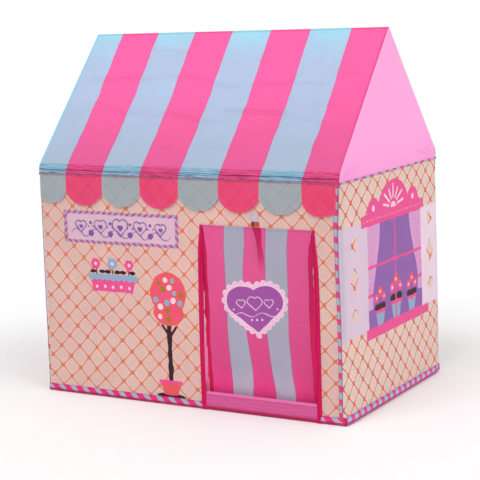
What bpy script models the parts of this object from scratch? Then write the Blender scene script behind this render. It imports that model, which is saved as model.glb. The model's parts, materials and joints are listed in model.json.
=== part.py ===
"""Play tent shaped like a small shop, in metres, +Z up.

A cover of sewn cloth panels with a striped gabled roof, scalloped valances and a hanging door flap
stands over a frame of straight poles that push into moulded corner sockets.
The front wall faces -Y. The origin is the middle of the footprint, on the floor.
"""

import math

import bmesh
import bpy
from mathutils import Vector

# Driving dimensions of the tent
WIDTH = 0.950
DEPTH = 0.650
RIDGE_HEIGHT = 1.020
EAVE_HEIGHT = 0.662

# Cloth: every panel is one closed sheet, and trim is the thinner tape sewn over the seams
CLOTH = 0.0012
TRIM = 0.0008
GAP = 0.0003

# Poles and sockets
POLE_RADIUS = 0.007
POLE_WALL = 0.0012
BORE_CLEARANCE = 0.0003
SOCKET_WALL = 0.0016
RIM_STEP = 0.0006
RIM_LENGTH = 0.005
SOCKET_DEPTH = 0.032
SOCKET_WEB = 0.001
POLE_END_PLAY = 0.0005
POLE_SIDES = 12

# Roof
EAVE_BAND = 0.024
ROOF_SAG = 0.005
STRIPE_PITCH = 0.125
FIRST_STRIPE = 0.092
SLOPE_CELLS = 6
BEND_CELLS = 3

# Valances
VALANCE_DROP = 0.088
SCALLOP_DEPTH = 0.038
SCALLOP_CELLS = 8
SCALLOP_ROUNDNESS = 2.4

# Doorway, placed from the right-hand corner
DOOR_MARGIN = 0.077
DOOR_WIDTH = 0.3395
DOOR_HEADROOM = 0.123
BINDING_WIDTH = 0.0125
THRESHOLD_HEIGHT = 0.052

# Door flap: a long top length, then equal lengths that roll up
FLAP_SLIT = 0.0017
FLAP_FIRST = 0.115
FLAP_FLOOR_CLEARANCE = 0.012
FLAP_WAVE = 0.002
FLAP_WAVES = 2.5
FLAP_ROLLS = 5
FLAP_COLUMNS = 14
FLAP_ROWS = 2

# Door tie
TIE_WIDTH = 0.023
TIE_RISE = 0.032
TIE_SHIFT = -0.003
TIE_CLEARANCE = 0.001
TIE_END_CLEARANCE = 0.015
PATCH_HEIGHT = 0.021
PATCH_RISE = 0.015

# Seam tapes
TAPE_FRONT_WIDTH = 0.0165
TAPE_SIDE_WIDTH = 0.005
PIPING_HEIGHT = 0.007

# Places that follow from the sizes above
HALF_WIDTH = WIDTH / 2
HALF_DEPTH = DEPTH / 2
SEAM_HEIGHT = EAVE_HEIGHT - EAVE_BAND
BORE_RADIUS = POLE_RADIUS + BORE_CLEARANCE
SOCKET_RADIUS = BORE_RADIUS + SOCKET_WALL
RIM_RADIUS = SOCKET_RADIUS + RIM_STEP
INSET = CLOTH + GAP + RIM_RADIUS
SLEEVE_SIZE = 2 * INSET
CORNER_CLEAR = SLEEVE_SIZE + GAP
EAVE_BEND_RADIUS = INSET
SLOPE_ANGLE = math.atan2(RIDGE_HEIGHT - EAVE_HEIGHT, HALF_DEPTH)
DOOR_RIGHT = HALF_WIDTH - DOOR_MARGIN
DOOR_LEFT = DOOR_RIGHT - DOOR_WIDTH
DOOR_TOP = SEAM_HEIGHT - DOOR_HEADROOM
WALL_CUT_LEFT = DOOR_LEFT - TRIM - GAP
WALL_CUT_RIGHT = DOOR_RIGHT + TRIM + GAP
TAPE_REACH = GAP + TRIM
VALANCE_OFFSET = TAPE_REACH + GAP
FLAP_TOP = DOOR_TOP - GAP
FLAP_REACH = FLAP_TOP - FLAP_FLOOR_CLEARANCE
FLAP_LEAN = (SLEEVE_SIZE + GAP + FLAP_WAVE) / (FLAP_TOP - SLEEVE_SIZE)
ROLL_LENGTH = (FLAP_REACH - FLAP_FIRST) / FLAP_ROLLS

# Colours of the pieces, as linear values, and how rough each one is
COLOURS = {
    "pole_white": ((0.82, 0.82, 0.80), 0.45),
    "socket_plastic": ((0.62, 0.62, 0.64), 0.40),
    "stripe_pink": ((0.94, 0.16, 0.42), 0.80),
    "stripe_blue": ((0.42, 0.68, 0.80), 0.80),
    "gable_pink": ((0.98, 0.45, 0.76), 0.80),
    "wall_print": ((0.86, 0.63, 0.48), 0.85),
    "candy_tape": ((0.62, 0.20, 0.44), 0.75),
    "binding_magenta": ((0.58, 0.02, 0.13), 0.75),
    "threshold_pink": ((0.70, 0.12, 0.38), 0.60),
    "patch_lilac": ((0.56, 0.47, 0.56), 0.85),
}


def material(name):
    """The cloth or plastic of this name, made once."""
    found = bpy.data.materials.get(name)
    if found:
        return found
    colour, roughness = COLOURS[name]
    made = bpy.data.materials.new(name)
    made.use_nodes = True
    shader = made.node_tree.nodes["Principled BSDF"]
    shader.inputs["Base Color"].default_value = (*colour, 1)
    shader.inputs["Roughness"].default_value = roughness
    shader.inputs["Metallic"].default_value = 0
    made.diffuse_color = (*colour, 1)
    return made


def add_object(name, points, faces, materials, origin=None):
    """A mesh object with its faces turned outwards, its own origin at the given place."""
    origin = Vector(origin) if origin else Vector()
    mesh = bpy.data.meshes.new(name)
    mesh.from_pydata([Vector(p) - origin for p in points], [], faces)
    shape = bmesh.new()
    shape.from_mesh(mesh)
    bmesh.ops.recalc_face_normals(shape, faces=shape.faces)
    shape.to_mesh(mesh)
    shape.free()
    for each in materials:
        mesh.materials.append(material(each))
    made = bpy.data.objects.new(name, mesh)
    made.location = origin
    bpy.context.scene.collection.objects.link(made)
    return made


def smooth(made, angle=math.radians(40)):
    made.data.shade_smooth()
    made.data.set_sharp_from_angle(angle=angle)


def prism(name, outline, axis, low, high, colour):
    """A flat outline pushed along one axis. Its pairs are values on the other two axes, in order."""

    def place(pair, along):
        values = list(pair)
        values.insert(axis, along)
        return values

    count = len(outline)
    points = [place(pair, low) for pair in outline] + [place(pair, high) for pair in outline]
    sides = [(i, (i + 1) % count, (i + 1) % count + count, i + count) for i in range(count)]
    ends = [tuple(range(count)), tuple(range(count, 2 * count))]
    return add_object(name, points, sides + ends, [colour])


def box(name, low, high, colour):
    outline = [(low[0], low[1]), (high[0], low[1]), (high[0], high[1]), (low[0], high[1])]
    return prism(name, outline, 2, low[2], high[2], colour)


def lathe(name, profile, centre, direction, colour, ring=False):
    """Turns (distance, radius) points about the line from centre along direction.

    A ring profile closes on itself, as a tube's wall does. Any other gets a flat cap at each end.
    """
    turn = Vector((0, 0, 1)).rotation_difference(Vector(direction))
    centre = Vector(centre)
    points = []
    for distance, radius in profile:
        for i in range(POLE_SIDES):
            a = 2 * math.pi * i / POLE_SIDES
            spoke = Vector((radius * math.cos(a), radius * math.sin(a), distance))
            points.append(centre + turn @ spoke)
    rows = len(profile)
    faces = []
    for row in range(rows if ring else rows - 1):
        for i in range(POLE_SIDES):
            j = (i + 1) % POLE_SIDES
            below = row * POLE_SIDES
            above = (row + 1) % rows * POLE_SIDES
            faces.append((below + i, below + j, above + j, above + i))
    if not ring:
        last = (rows - 1) * POLE_SIDES
        faces.append(tuple(range(POLE_SIDES)))
        faces.append(tuple(range(last, last + POLE_SIDES)))
    made = add_object(name, points, faces, [colour])
    smooth(made)
    return made


def ball(name, centre, radius, colour):
    shape = bmesh.new()
    rings = POLE_SIDES // 2
    bmesh.ops.create_uvsphere(shape, u_segments=POLE_SIDES, v_segments=rings, radius=radius)
    mesh = bpy.data.meshes.new(name)
    shape.to_mesh(mesh)
    shape.free()
    mesh.materials.append(material(colour))
    made = bpy.data.objects.new(name, mesh)
    made.location = centre
    bpy.context.scene.collection.objects.link(made)
    return made


def combine(made, tools, operation):
    """Adds the tools to a solid, or cuts them from it, and then removes them."""
    for tool in tools:
        tool.hide_render = True
        tool.display_type = "WIRE"
        step = made.modifiers.new(operation.lower(), "BOOLEAN")
        step.operation = operation
        step.solver = "EXACT"
        step.object = tool
    bpy.context.view_layer.update()
    graph = bpy.context.evaluated_depsgraph_get()
    shaped = bpy.data.meshes.new_from_object(made.evaluated_get(graph))
    made.modifiers.clear()
    made.data = shaped
    for tool in tools:
        bpy.data.objects.remove(tool, do_unlink=True)
    return made


def slab(name, outer, inner, materials, material_of_column=None, origin=None):
    """A closed sheet between two grids of points, each a list of columns of equal length."""
    columns, rows = len(outer), len(outer[0])
    points = [p for column in outer for p in column] + [p for column in inner for p in column]
    back = columns * rows
    faces, slots = [], []

    def add(face, column):
        faces.append(face)
        slots.append(material_of_column(column) if material_of_column else 0)

    for c in range(columns - 1):
        for r in range(rows - 1):
            a, b = c * rows + r, (c + 1) * rows + r
            add((a, b, b + 1, a + 1), c)
            add((back + a, back + a + 1, back + b + 1, back + b), c)
        for r in (0, rows - 1):
            a, b = c * rows + r, (c + 1) * rows + r
            add((a, b, back + b, back + a), c)
    for c in (0, columns - 1):
        for r in range(rows - 1):
            a = c * rows + r
            add((a, a + 1, back + a + 1, back + a), min(c, columns - 2))
    made = add_object(name, points, faces, materials, origin)
    made.data.polygons.foreach_set("material_index", slots)
    smooth(made)
    return made


# Frame: hubs, sockets and poles


def side_name(x_sign, y_sign):
    return ("back" if y_sign > 0 else "front") + "_" + ("right" if x_sign > 0 else "left")


def base_hub(x_sign, y_sign):
    return Vector((x_sign * (HALF_WIDTH - INSET), y_sign * (HALF_DEPTH - INSET), INSET))


def eave_hub(x_sign, y_sign):
    """On the line where the frame planes behind the wall and behind the roof slope meet."""
    rise = INSET * math.tan(SLOPE_ANGLE) - INSET / math.cos(SLOPE_ANGLE)
    x, y = x_sign * (HALF_WIDTH - INSET), y_sign * (HALF_DEPTH - INSET)
    return Vector((x, y, EAVE_HEIGHT + rise))


def ridge_hub(x_sign):
    return Vector((x_sign * (HALF_WIDTH - INSET), 0, RIDGE_HEIGHT - INSET / math.cos(SLOPE_ANGLE)))


def bore_start(directions):
    """How far from the hub the bores begin, so that the two closest ones keep a web between them."""
    least = min(a.angle(b) for i, a in enumerate(directions) for b in directions[i + 1 :])
    return (BORE_RADIUS + SOCKET_WEB) / math.tan(least / 2)


def socket_hub(name, centre, directions, foot=False):
    """A moulded hub with one rimmed socket for each pole, and on a base hub a foot to the floor."""
    start = bore_start(directions)
    end = start + SOCKET_DEPTH
    profile = [
        (0, SOCKET_RADIUS),
        (end - RIM_LENGTH, SOCKET_RADIUS),
        (end - RIM_LENGTH, RIM_RADIUS),
        (end, RIM_RADIUS),
    ]
    made = lathe(name, profile, centre, directions[0], "socket_plastic")
    arms = [lathe("arm", profile, centre, way, "socket_plastic") for way in directions[1:]]
    arms.append(ball("hub", centre, SOCKET_RADIUS, "socket_plastic"))
    if foot:
        down = [(0, SOCKET_RADIUS), (centre.z, SOCKET_RADIUS)]
        arms.append(lathe("foot", down, centre, (0, 0, -1), "socket_plastic"))
    combine(made, arms, "UNION")
    bore = [(start, BORE_RADIUS), (end + RIM_LENGTH, BORE_RADIUS)]
    bores = [lathe("bore", bore, centre, way, "socket_plastic") for way in directions]
    combine(made, bores, "DIFFERENCE")
    smooth(made)
    return start


def pole(name, hub_a, start_a, hub_b, start_b):
    """A straight tube from the floor of one socket's bore to that of the other."""
    way = (hub_b - hub_a).normalized()
    low = start_a + POLE_END_PLAY
    high = (hub_b - hub_a).length - start_b - POLE_END_PLAY
    inner = POLE_RADIUS - POLE_WALL
    profile = [(low, POLE_RADIUS), (high, POLE_RADIUS), (high, inner), (low, inner)]
    lathe(name, profile, hub_a, way, "pole_white", ring=True)


def build_frame():
    up = Vector((0, 0, 1))
    corners = [(x, y) for x in (-1, 1) for y in (-1, 1)]
    slope = {y: (ridge_hub(1) - eave_hub(1, y)).normalized() for y in (-1, 1)}
    for x, y in corners:
        corner = side_name(x, y)
        level = [Vector((-x, 0, 0)), Vector((0, -y, 0))]
        base = socket_hub(f"base_corner_{corner}", base_hub(x, y), [up, *level], foot=True)
        eave = socket_hub(f"eave_corner_{corner}", eave_hub(x, y), [-up, *level, slope[y]])
    for x, side in ((-1, "left"), (1, "right")):
        ways = [Vector((-x, 0, 0)), -slope[-1], -slope[1]]
        ridge = socket_hub(f"ridge_corner_{side}", ridge_hub(x), ways)
        pole(f"base_pole_{side}", base_hub(x, -1), base, base_hub(x, 1), base)
        pole(f"eave_pole_{side}", eave_hub(x, -1), eave, eave_hub(x, 1), eave)
    for y, side in ((-1, "front"), (1, "back")):
        pole(f"base_pole_{side}", base_hub(-1, y), base, base_hub(1, y), base)
        pole(f"eave_pole_{side}", eave_hub(-1, y), eave, eave_hub(1, y), eave)
    for x, y in corners:
        pole(f"corner_post_{side_name(x, y)}", base_hub(x, y), base, eave_hub(x, y), eave)
        pole(f"rafter_{side_name(x, y)}", eave_hub(x, y), eave, ridge_hub(x), ridge)
    pole("ridge_pole", ridge_hub(-1), ridge, ridge_hub(1), ridge)


# Roof


def roof_profile(depth):
    """(distance out from the ridge, height) points of one slope, this deep behind its outer face."""
    foot = HALF_DEPTH - depth
    turn = math.pi / 2 - SLOPE_ANGLE
    radius = EAVE_BEND_RADIUS - depth
    tangent = EAVE_BEND_RADIUS * math.tan(turn / 2)
    centre = (HALF_DEPTH - EAVE_BEND_RADIUS, EAVE_HEIGHT - tangent)
    start = (
        centre[0] + radius * math.sin(SLOPE_ANGLE),
        centre[1] + radius * math.cos(SLOPE_ANGLE),
    )
    top = RIDGE_HEIGHT - depth / math.cos(SLOPE_ANGLE)
    points = []
    for i in range(SLOPE_CELLS):
        share = i / SLOPE_CELLS
        points.append((start[0] * share, top + (start[1] - top) * share))
    for i in range(BEND_CELLS + 1):
        angle = SLOPE_ANGLE + turn * i / BEND_CELLS
        points.append((centre[0] + radius * math.sin(angle), centre[1] + radius * math.cos(angle)))
    points.append((foot, SEAM_HEIGHT + GAP / 2))
    return points


def stripe_edges():
    """Where the stripes change colour, from the left-hand edge of the roof to the right-hand one."""
    edges = [-HALF_WIDTH]
    x = FIRST_STRIPE - HALF_WIDTH
    while x < HALF_WIDTH - CLOTH:
        edges.append(x)
        x += STRIPE_PITCH
    return edges + [HALF_WIDTH]


def halves(edges):
    """The same places with one more in the middle of each stripe."""
    middles = [(a + b) / 2 for a, b in zip(edges, edges[1:])]
    return sorted(edges + middles)


def roof_panel(name, y_sign):
    """One slope: from the ridge it sags a little between the rafters, then turns down at the eave."""
    places = halves(stripe_edges())

    def column(x, depth):
        found = []
        for i, (out, height) in enumerate(roof_profile(depth)):
            share = min(i / SLOPE_CELLS, 1)
            sag = ROOF_SAG * math.sin(math.pi * share) * (1 - (x / HALF_WIDTH) ** 2)
            y = max(out - sag * math.sin(SLOPE_ANGLE), GAP / 2)
            found.append((x, y_sign * y, height - sag * math.cos(SLOPE_ANGLE)))
        return found

    slab(
        name,
        [column(x, 0) for x in places],
        [column(x, CLOTH) for x in places],
        ["stripe_blue", "stripe_pink"],
        lambda c: c // 2 % 2,
    )


def gable(name, x_sign):
    """The triangle above the side wall. Its edges lie under the roof panels."""
    half = roof_profile(CLOTH + GAP)
    right = [(y, z) for y, z in half]
    left = [(-y, z) for y, z in reversed(half[1:])]
    faces = sorted((x_sign * (HALF_WIDTH - CLOTH), x_sign * HALF_WIDTH))
    prism(name, right + left, 0, faces[0], faces[1], "gable_pink")


def valance(name, y_sign):
    """The scalloped strip below the eave. Its origin is on the seam that it hangs from."""
    edges = stripe_edges()
    centres = [FIRST_STRIPE - HALF_WIDTH + (i - 0.5) * STRIPE_PITCH for i in range(len(edges) - 1)]
    top = SEAM_HEIGHT - GAP
    places, stripes = [-HALF_WIDTH], []
    for i, (low, high) in enumerate(zip(edges, edges[1:])):
        for k in range(1, SCALLOP_CELLS + 1):
            places.append(low + (high - low) * k / SCALLOP_CELLS)
            stripes.append(i % 2)

    def lower_edge(x, stripe):
        """A rounded tongue: flat in the middle, steep beside the notches."""
        share = min(abs(x - centres[stripe]) / (STRIPE_PITCH / 2), 1)
        curve = (1 - share**SCALLOP_ROUNDNESS) ** (1 / SCALLOP_ROUNDNESS)
        return SEAM_HEIGHT - VALANCE_DROP + SCALLOP_DEPTH * (1 - curve)

    def grid(out):
        y = y_sign * (HALF_DEPTH + VALANCE_OFFSET + out)
        columns = []
        for i, x in enumerate(places):
            stripe = max(i - 1, 0) // SCALLOP_CELLS
            columns.append([(x, y, top), (x, y, lower_edge(x, stripe))])
        return columns

    slab(
        name,
        grid(CLOTH),
        grid(0),
        ["stripe_blue", "stripe_pink"],
        lambda c: stripes[c],
        (0, y_sign * (HALF_DEPTH + VALANCE_OFFSET + CLOTH), top),
    )


# Walls


def build_walls():
    low, high = SLEEVE_SIZE + GAP, SEAM_HEIGHT - GAP / 2
    doorway = [
        (-HALF_WIDTH, low),
        (WALL_CUT_LEFT, low),
        (WALL_CUT_LEFT, DOOR_TOP),
        (WALL_CUT_RIGHT, DOOR_TOP),
        (WALL_CUT_RIGHT, low),
        (HALF_WIDTH, low),
        (HALF_WIDTH, high),
        (-HALF_WIDTH, high),
    ]
    inside = HALF_DEPTH - CLOTH
    prism("front_wall", doorway, 1, -HALF_DEPTH, -inside, "wall_print")
    box("back_wall", (-HALF_WIDTH, inside, low), (HALF_WIDTH, HALF_DEPTH, high), "wall_print")
    for x_sign, side in ((-1, "left"), (1, "right")):
        faces = sorted((x_sign * (HALF_WIDTH - CLOTH), x_sign * HALF_WIDTH))
        reach = inside - GAP
        box(f"{side}_wall", (faces[0], -reach, low), (faces[1], reach, high), "wall_print")


def sleeve(name, axis, sign, low, high, colour, cut_ends=(), height=SLEEVE_SIZE):
    """A square pole sleeve along X (axis 0) or Y (axis 1), its outer face in the wall's plane.

    cut_ends holds -1, 1 or both: there the sleeve meets a corner, and only its outer leaf goes on.
    """
    face = (HALF_DEPTH, HALF_WIDTH)[axis]

    def outline(pairs):
        return [(sign * (face - depth), z) for depth, z in pairs]

    back, far = SLEEVE_SIZE, SLEEVE_SIZE - CLOTH
    profile = [(0, 0), (back, 0), (back, back), (CLOTH, back), (CLOTH, height), (0, height)]
    if height == SLEEVE_SIZE:
        profile = profile[:3] + profile[-1:]
    made = prism(name, outline(profile), axis, low, high, colour)
    bore = outline([(CLOTH, CLOTH), (far, CLOTH), (far, far), (CLOTH, far)])
    cutters = [prism("bore", bore, axis, low - CORNER_CLEAR, high + CORNER_CLEAR, colour)]
    past = back + CLOTH
    inner = outline([(CLOTH, -CLOTH), (past, -CLOTH), (past, past), (CLOTH, past)])
    corner = (HALF_WIDTH, HALF_DEPTH)[axis]
    for end in cut_ends:
        reach = sorted((end * (corner - CORNER_CLEAR), end * (corner + CORNER_CLEAR)))
        cutters.append(prism("corner", inner, axis, *reach, colour))
    return combine(made, cutters, "DIFFERENCE")


def build_sleeves():
    side = HALF_DEPTH - CLOTH - GAP
    tape = "candy_tape"
    sleeve("base_sleeve_front_left", 0, -1, -HALF_WIDTH, WALL_CUT_LEFT, tape, [-1])
    sleeve("base_sleeve_front_right", 0, -1, WALL_CUT_RIGHT, HALF_WIDTH, tape, [1])
    sleeve("base_sleeve_back", 0, 1, -HALF_WIDTH, HALF_WIDTH, tape, [-1, 1])
    sleeve("base_sleeve_left", 1, -1, -side, side, tape, [-1, 1])
    sleeve("base_sleeve_right", 1, 1, -side, side, tape, [-1, 1])
    ends = (DOOR_LEFT + GAP, DOOR_RIGHT - GAP)
    sleeve("door_threshold", 0, -1, *ends, "threshold_pink", height=THRESHOLD_HEIGHT)


# Trim


def corner_tape(x_sign, y_sign):
    """An angle of tape that wraps the corner, outside both walls."""
    x, y = HALF_WIDTH + GAP, HALF_DEPTH + GAP
    pairs = [
        (x + TRIM, y + TRIM),
        (HALF_WIDTH - TAPE_FRONT_WIDTH, y + TRIM),
        (HALF_WIDTH - TAPE_FRONT_WIDTH, y),
        (x, y),
        (x, HALF_DEPTH - TAPE_SIDE_WIDTH),
        (x + TRIM, HALF_DEPTH - TAPE_SIDE_WIDTH),
    ]
    outline = [(x_sign * a, y_sign * b) for a, b in pairs]
    top = SEAM_HEIGHT - PIPING_HEIGHT / 2 - GAP
    prism(f"corner_tape_{side_name(x_sign, y_sign)}", outline, 2, 0, top, "candy_tape")


def gable_piping(side, x_sign):
    faces = sorted((x_sign * (HALF_WIDTH + GAP), x_sign * (HALF_WIDTH + TAPE_REACH)))
    middle, half = SEAM_HEIGHT, PIPING_HEIGHT / 2
    low, high = (faces[0], -HALF_DEPTH, middle - half), (faces[1], HALF_DEPTH, middle + half)
    box(f"gable_piping_{side}", low, high, "candy_tape")


def door_binding(side, edge, away):
    """Tape down one side of the doorway: a leaf on the wall's face and a return over its cut edge."""
    face = -HALF_DEPTH
    pairs = [
        (0, face - TAPE_REACH),
        (BINDING_WIDTH, face - TAPE_REACH),
        (BINDING_WIDTH, face - GAP),
        (TRIM, face - GAP),
        (TRIM, face + CLOTH),
        (0, face + CLOTH),
    ]
    outline = [(edge + away * x, y) for x, y in pairs]
    prism(f"door_binding_{side}", outline, 2, 0, DOOR_TOP - GAP, "binding_magenta")


# Door flap


def flap_face(x, z):
    """Y of the flap's front face. It leans in to pass behind the threshold, with soft waves below."""
    drop = FLAP_TOP - z
    across = (x - DOOR_LEFT) / DOOR_WIDTH
    wave = FLAP_WAVE * drop / FLAP_REACH * math.sin(2 * math.pi * FLAP_WAVES * across)
    return -HALF_DEPTH + drop * FLAP_LEAN + wave


def flap_hinge(z):
    """Y of the fold line at this height: the back of the flap where it bows furthest in."""
    drop = FLAP_TOP - z
    return -HALF_DEPTH + drop * (FLAP_LEAN + FLAP_WAVE / FLAP_REACH) + CLOTH


def flap_length(number, top, bottom):
    left, right = DOOR_LEFT + FLAP_SLIT, DOOR_RIGHT - FLAP_SLIT
    across = [left + (right - left) * i / FLAP_COLUMNS for i in range(FLAP_COLUMNS + 1)]
    down = [top + (bottom - top) * i / FLAP_ROWS for i in range(FLAP_ROWS + 1)]

    def grid(depth):
        return [[(x, flap_face(x, z) + depth, z) for z in down] for x in across]

    slab(
        f"door_flap_{number}",
        grid(0),
        grid(CLOTH),
        ["stripe_pink"],
        origin=((DOOR_LEFT + DOOR_RIGHT) / 2, flap_hinge(top), top),
    )


def build_flap():
    top = FLAP_TOP
    for number in range(1, FLAP_ROLLS + 2):
        length = FLAP_FIRST if number == 1 else ROLL_LENGTH
        gap = GAP if number <= FLAP_ROLLS else 0
        flap_length(number, top, top - length + gap)
        top -= length


def build_tie():
    """The strap hangs inside, behind the flap, from the seam under the patch on the outside."""
    centre = (DOOR_LEFT + DOOR_RIGHT) / 2 + TIE_SHIFT
    left, right = centre - TIE_WIDTH / 2, centre + TIE_WIDTH / 2
    top = DOOR_TOP + TIE_RISE
    bottom = DOOR_TOP - FLAP_FIRST + TIE_END_CLEARANCE
    start = -HALF_DEPTH + CLOTH + GAP
    end = flap_hinge(bottom) + TIE_CLEARANCE

    def grid(depth):
        return [[(x, start + depth, top), (x, end + depth, bottom)] for x in (left, right)]

    slab("door_tie_strap", grid(0), grid(CLOTH), ["binding_magenta"], origin=(centre, start, top))
    low = DOOR_TOP + PATCH_RISE
    face = -HALF_DEPTH - GAP
    box("door_tie_patch", (left, face - TRIM, low), (right, face, low + PATCH_HEIGHT), "patch_lilac")


def build():
    for old in list(bpy.data.objects):
        bpy.data.objects.remove(old, do_unlink=True)
    build_frame()
    build_walls()
    build_sleeves()
    for y_sign, side in ((-1, "front"), (1, "back")):
        roof_panel(f"{side}_roof", y_sign)
        valance(f"{side}_valance", y_sign)
    for x_sign, side in ((-1, "left"), (1, "right")):
        gable(f"{side}_gable", x_sign)
        gable_piping(side, x_sign)
        for y_sign in (-1, 1):
            corner_tape(x_sign, y_sign)
    door_binding("left", DOOR_LEFT, -1)
    door_binding("right", DOOR_RIGHT, 1)
    build_flap()
    build_tie()


build()
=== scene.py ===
# %% [markdown]
# # A kids play tent shaped like a small shop
# A play tent is a house of thin printed cloth pulled over a frame of light poles. The poles and
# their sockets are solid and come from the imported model. The cloth is what the eye sees, so every
# panel, tape and flap is made again here, with its folds, its seams and its print.

# %% Open the frame
import json
import math

import bpy
import numpy as np
from mathutils import Matrix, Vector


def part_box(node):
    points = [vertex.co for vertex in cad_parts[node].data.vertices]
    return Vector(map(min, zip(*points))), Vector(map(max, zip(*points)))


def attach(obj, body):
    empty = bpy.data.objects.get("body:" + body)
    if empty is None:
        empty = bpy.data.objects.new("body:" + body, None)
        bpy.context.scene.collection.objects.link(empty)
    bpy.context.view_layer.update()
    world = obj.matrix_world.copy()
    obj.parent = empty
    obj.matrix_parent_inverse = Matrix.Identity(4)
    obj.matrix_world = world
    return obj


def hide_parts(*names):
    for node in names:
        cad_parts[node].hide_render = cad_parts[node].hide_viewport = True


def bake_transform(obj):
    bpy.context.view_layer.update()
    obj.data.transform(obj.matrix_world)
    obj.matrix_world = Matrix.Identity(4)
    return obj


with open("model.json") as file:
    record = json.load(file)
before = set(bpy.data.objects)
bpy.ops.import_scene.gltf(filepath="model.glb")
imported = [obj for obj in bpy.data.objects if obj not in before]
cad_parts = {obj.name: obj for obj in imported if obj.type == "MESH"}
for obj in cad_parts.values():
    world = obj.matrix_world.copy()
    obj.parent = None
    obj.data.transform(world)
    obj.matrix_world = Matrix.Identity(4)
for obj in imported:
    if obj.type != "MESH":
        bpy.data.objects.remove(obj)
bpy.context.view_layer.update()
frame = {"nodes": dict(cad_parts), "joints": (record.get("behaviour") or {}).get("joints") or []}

# %% [markdown]
# ## Sizes
# The cloth has to lie where the solids are, so its main places are read from their boxes. Each
# name below is a length that a tent maker would write on the pattern.

# %% Sizes of the tent
ROOF_LOW, ROOF_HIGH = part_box("front_roof")
WALL_LOW, WALL_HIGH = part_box("front_wall")
HALF_WIDTH, HALF_DEPTH = WALL_HIGH.x, -WALL_LOW.y
RIDGE, SEAM = ROOF_HIGH.z, ROOF_LOW.z
WALL_FOOT, WALL_TOP = WALL_LOW.z, WALL_HIGH.z
THICK, TRIM = 0.0012, 0.0008
CLEAR, PROUD = 0.0003, 0.0011
SLEEVE, BAND = 0.022, 0.024
EAVE = SEAM - CLEAR / 2 + BAND
DOOR_LEFT, DOOR_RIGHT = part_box("door_binding_left")[1].x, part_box("door_binding_right")[0].x
DOOR_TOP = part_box("door_flap_1")[1].z + CLEAR
DOOR_MIDDLE = 0.228
FIRST_STRIPE, STRIPE = 0.092, 0.125
print("tent", round(2 * HALF_WIDTH, 3), "wide", round(2 * HALF_DEPTH, 3), "deep", round(RIDGE, 3), "high")
print("doorway from", round(DOOR_LEFT, 4), "to", round(DOOR_RIGHT, 4), "top", round(DOOR_TOP, 4))

# %% [markdown]
# ## Colours and shader recipes
# Each material is a small tree of nodes. A recipe adds them one by one and joins them up, so that
# the steps below read like a list: this noise, made soft between two values, times that share.

# %% Put shader trees together
def tone(red, green, blue):
    """A colour as the eye reads it from a screen, 0 to 255, turned to linear values."""
    parts = [c / 255 for c in (red, green, blue)]
    return (*[c / 12.92 if c <= 0.04045 else ((c + 0.055) / 1.055) ** 2.4 for c in parts], 1)


class Recipe:
    """A shader tree. A value is a number, a colour or a socket, and a text names what a sheet carries."""

    def __init__(self, owner):
        owner.use_nodes = True
        self.tree = owner.node_tree

    def join(self, value, socket):
        value = self.named(value) if isinstance(value, str) else value
        if isinstance(value, bpy.types.NodeSocket):
            self.tree.links.new(value, socket)
        else:
            socket.default_value = value

    def feed(self, made, **inputs):
        """Links or sets a node's inputs by name, with _ for a blank."""
        for name, value in inputs.items():
            self.join(value, made.inputs[name.replace("_", " ")])
        return made

    def node(self, kind, **inputs):
        return self.feed(self.tree.nodes.new(kind), **inputs)

    def worked(self, kind, option, choice, *values):
        """The result of a node with one option set, whose inputs take the values in turn."""
        made = self.node(kind)
        if option:
            setattr(made, option, choice)
        for value, socket in zip(values, made.inputs):
            self.join(value, socket)
        return made.outputs

    def named(self, attribute, output="Fac"):
        found = self.node("ShaderNodeAttribute")
        found.attribute_name = attribute
        return found.outputs[output]

    def maths(self, operation, *values):
        return self.worked("ShaderNodeMath", "operation", operation, *values)[0]

    def times(self, *values):
        product = values[0]
        for value in values[1:]:
            product = self.maths("MULTIPLY", product, value)
        return product

    def soft(self, value, start, end):
        """0 at start and 1 at end, smooth between."""
        return self.worked("ShaderNodeMapRange", "interpolation_type", "SMOOTHSTEP", value, start, end, 0.0, 1.0)[0]

    def shaders(self, share, first, second):
        return self.worked("ShaderNodeMixShader", None, None, share, first, second)[0]

    def colours(self, share, first, second):
        mix = self.node("ShaderNodeMix")
        mix.data_type = "RGBA"
        for value, number in ((share, 0), (first, 6), (second, 7)):
            self.join(value, mix.inputs[number])
        return mix.outputs[2]

    def seen_directly(self):
        """1 for a ray from the camera, or one that a gloss or a clear part passes on, and 0 for light."""
        path = self.node("ShaderNodeLightPath").outputs
        either = self.maths("MAXIMUM", path["Is Camera Ray"], path["Is Glossy Ray"])
        return self.maths("MAXIMUM", either, path["Is Transmission Ray"])


# %% [markdown]
# ## Camera, light and floor
# The camera stands where the box corners of the photograph put it, with a long lens. The light is
# plain and soft: a bright dome, a wide key lamp from the front, one from the side, and a small one
# inside the tent for the daylight that comes through the cloth, so that a colour renders about as
# it is written. The floor is pale, takes the tent's shadow and fades to white away from it.

# %% Stand the camera, the lamps and the floor
DOME_STRENGTH, FLOOR_REACH, WHITE = 0.72, 30.0, (1, 1, 1, 1)
scene = bpy.context.scene
scene.view_settings.view_transform = "Standard"


def stand(name, data):
    """Puts a thing into the scene."""
    made = bpy.data.objects.new(name, data)
    scene.collection.objects.link(made)
    return made


def lamp(name, strength, angle, tilt, turn):
    """A distant lamp. It shines straight down until it is tilted from above, then turned about Z."""
    made = stand(name, bpy.data.lights.new(name, "SUN"))
    made.data.energy = strength
    made.data.angle = math.radians(angle)
    made.rotation_euler = (math.radians(tilt), 0, math.radians(turn))


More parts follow.
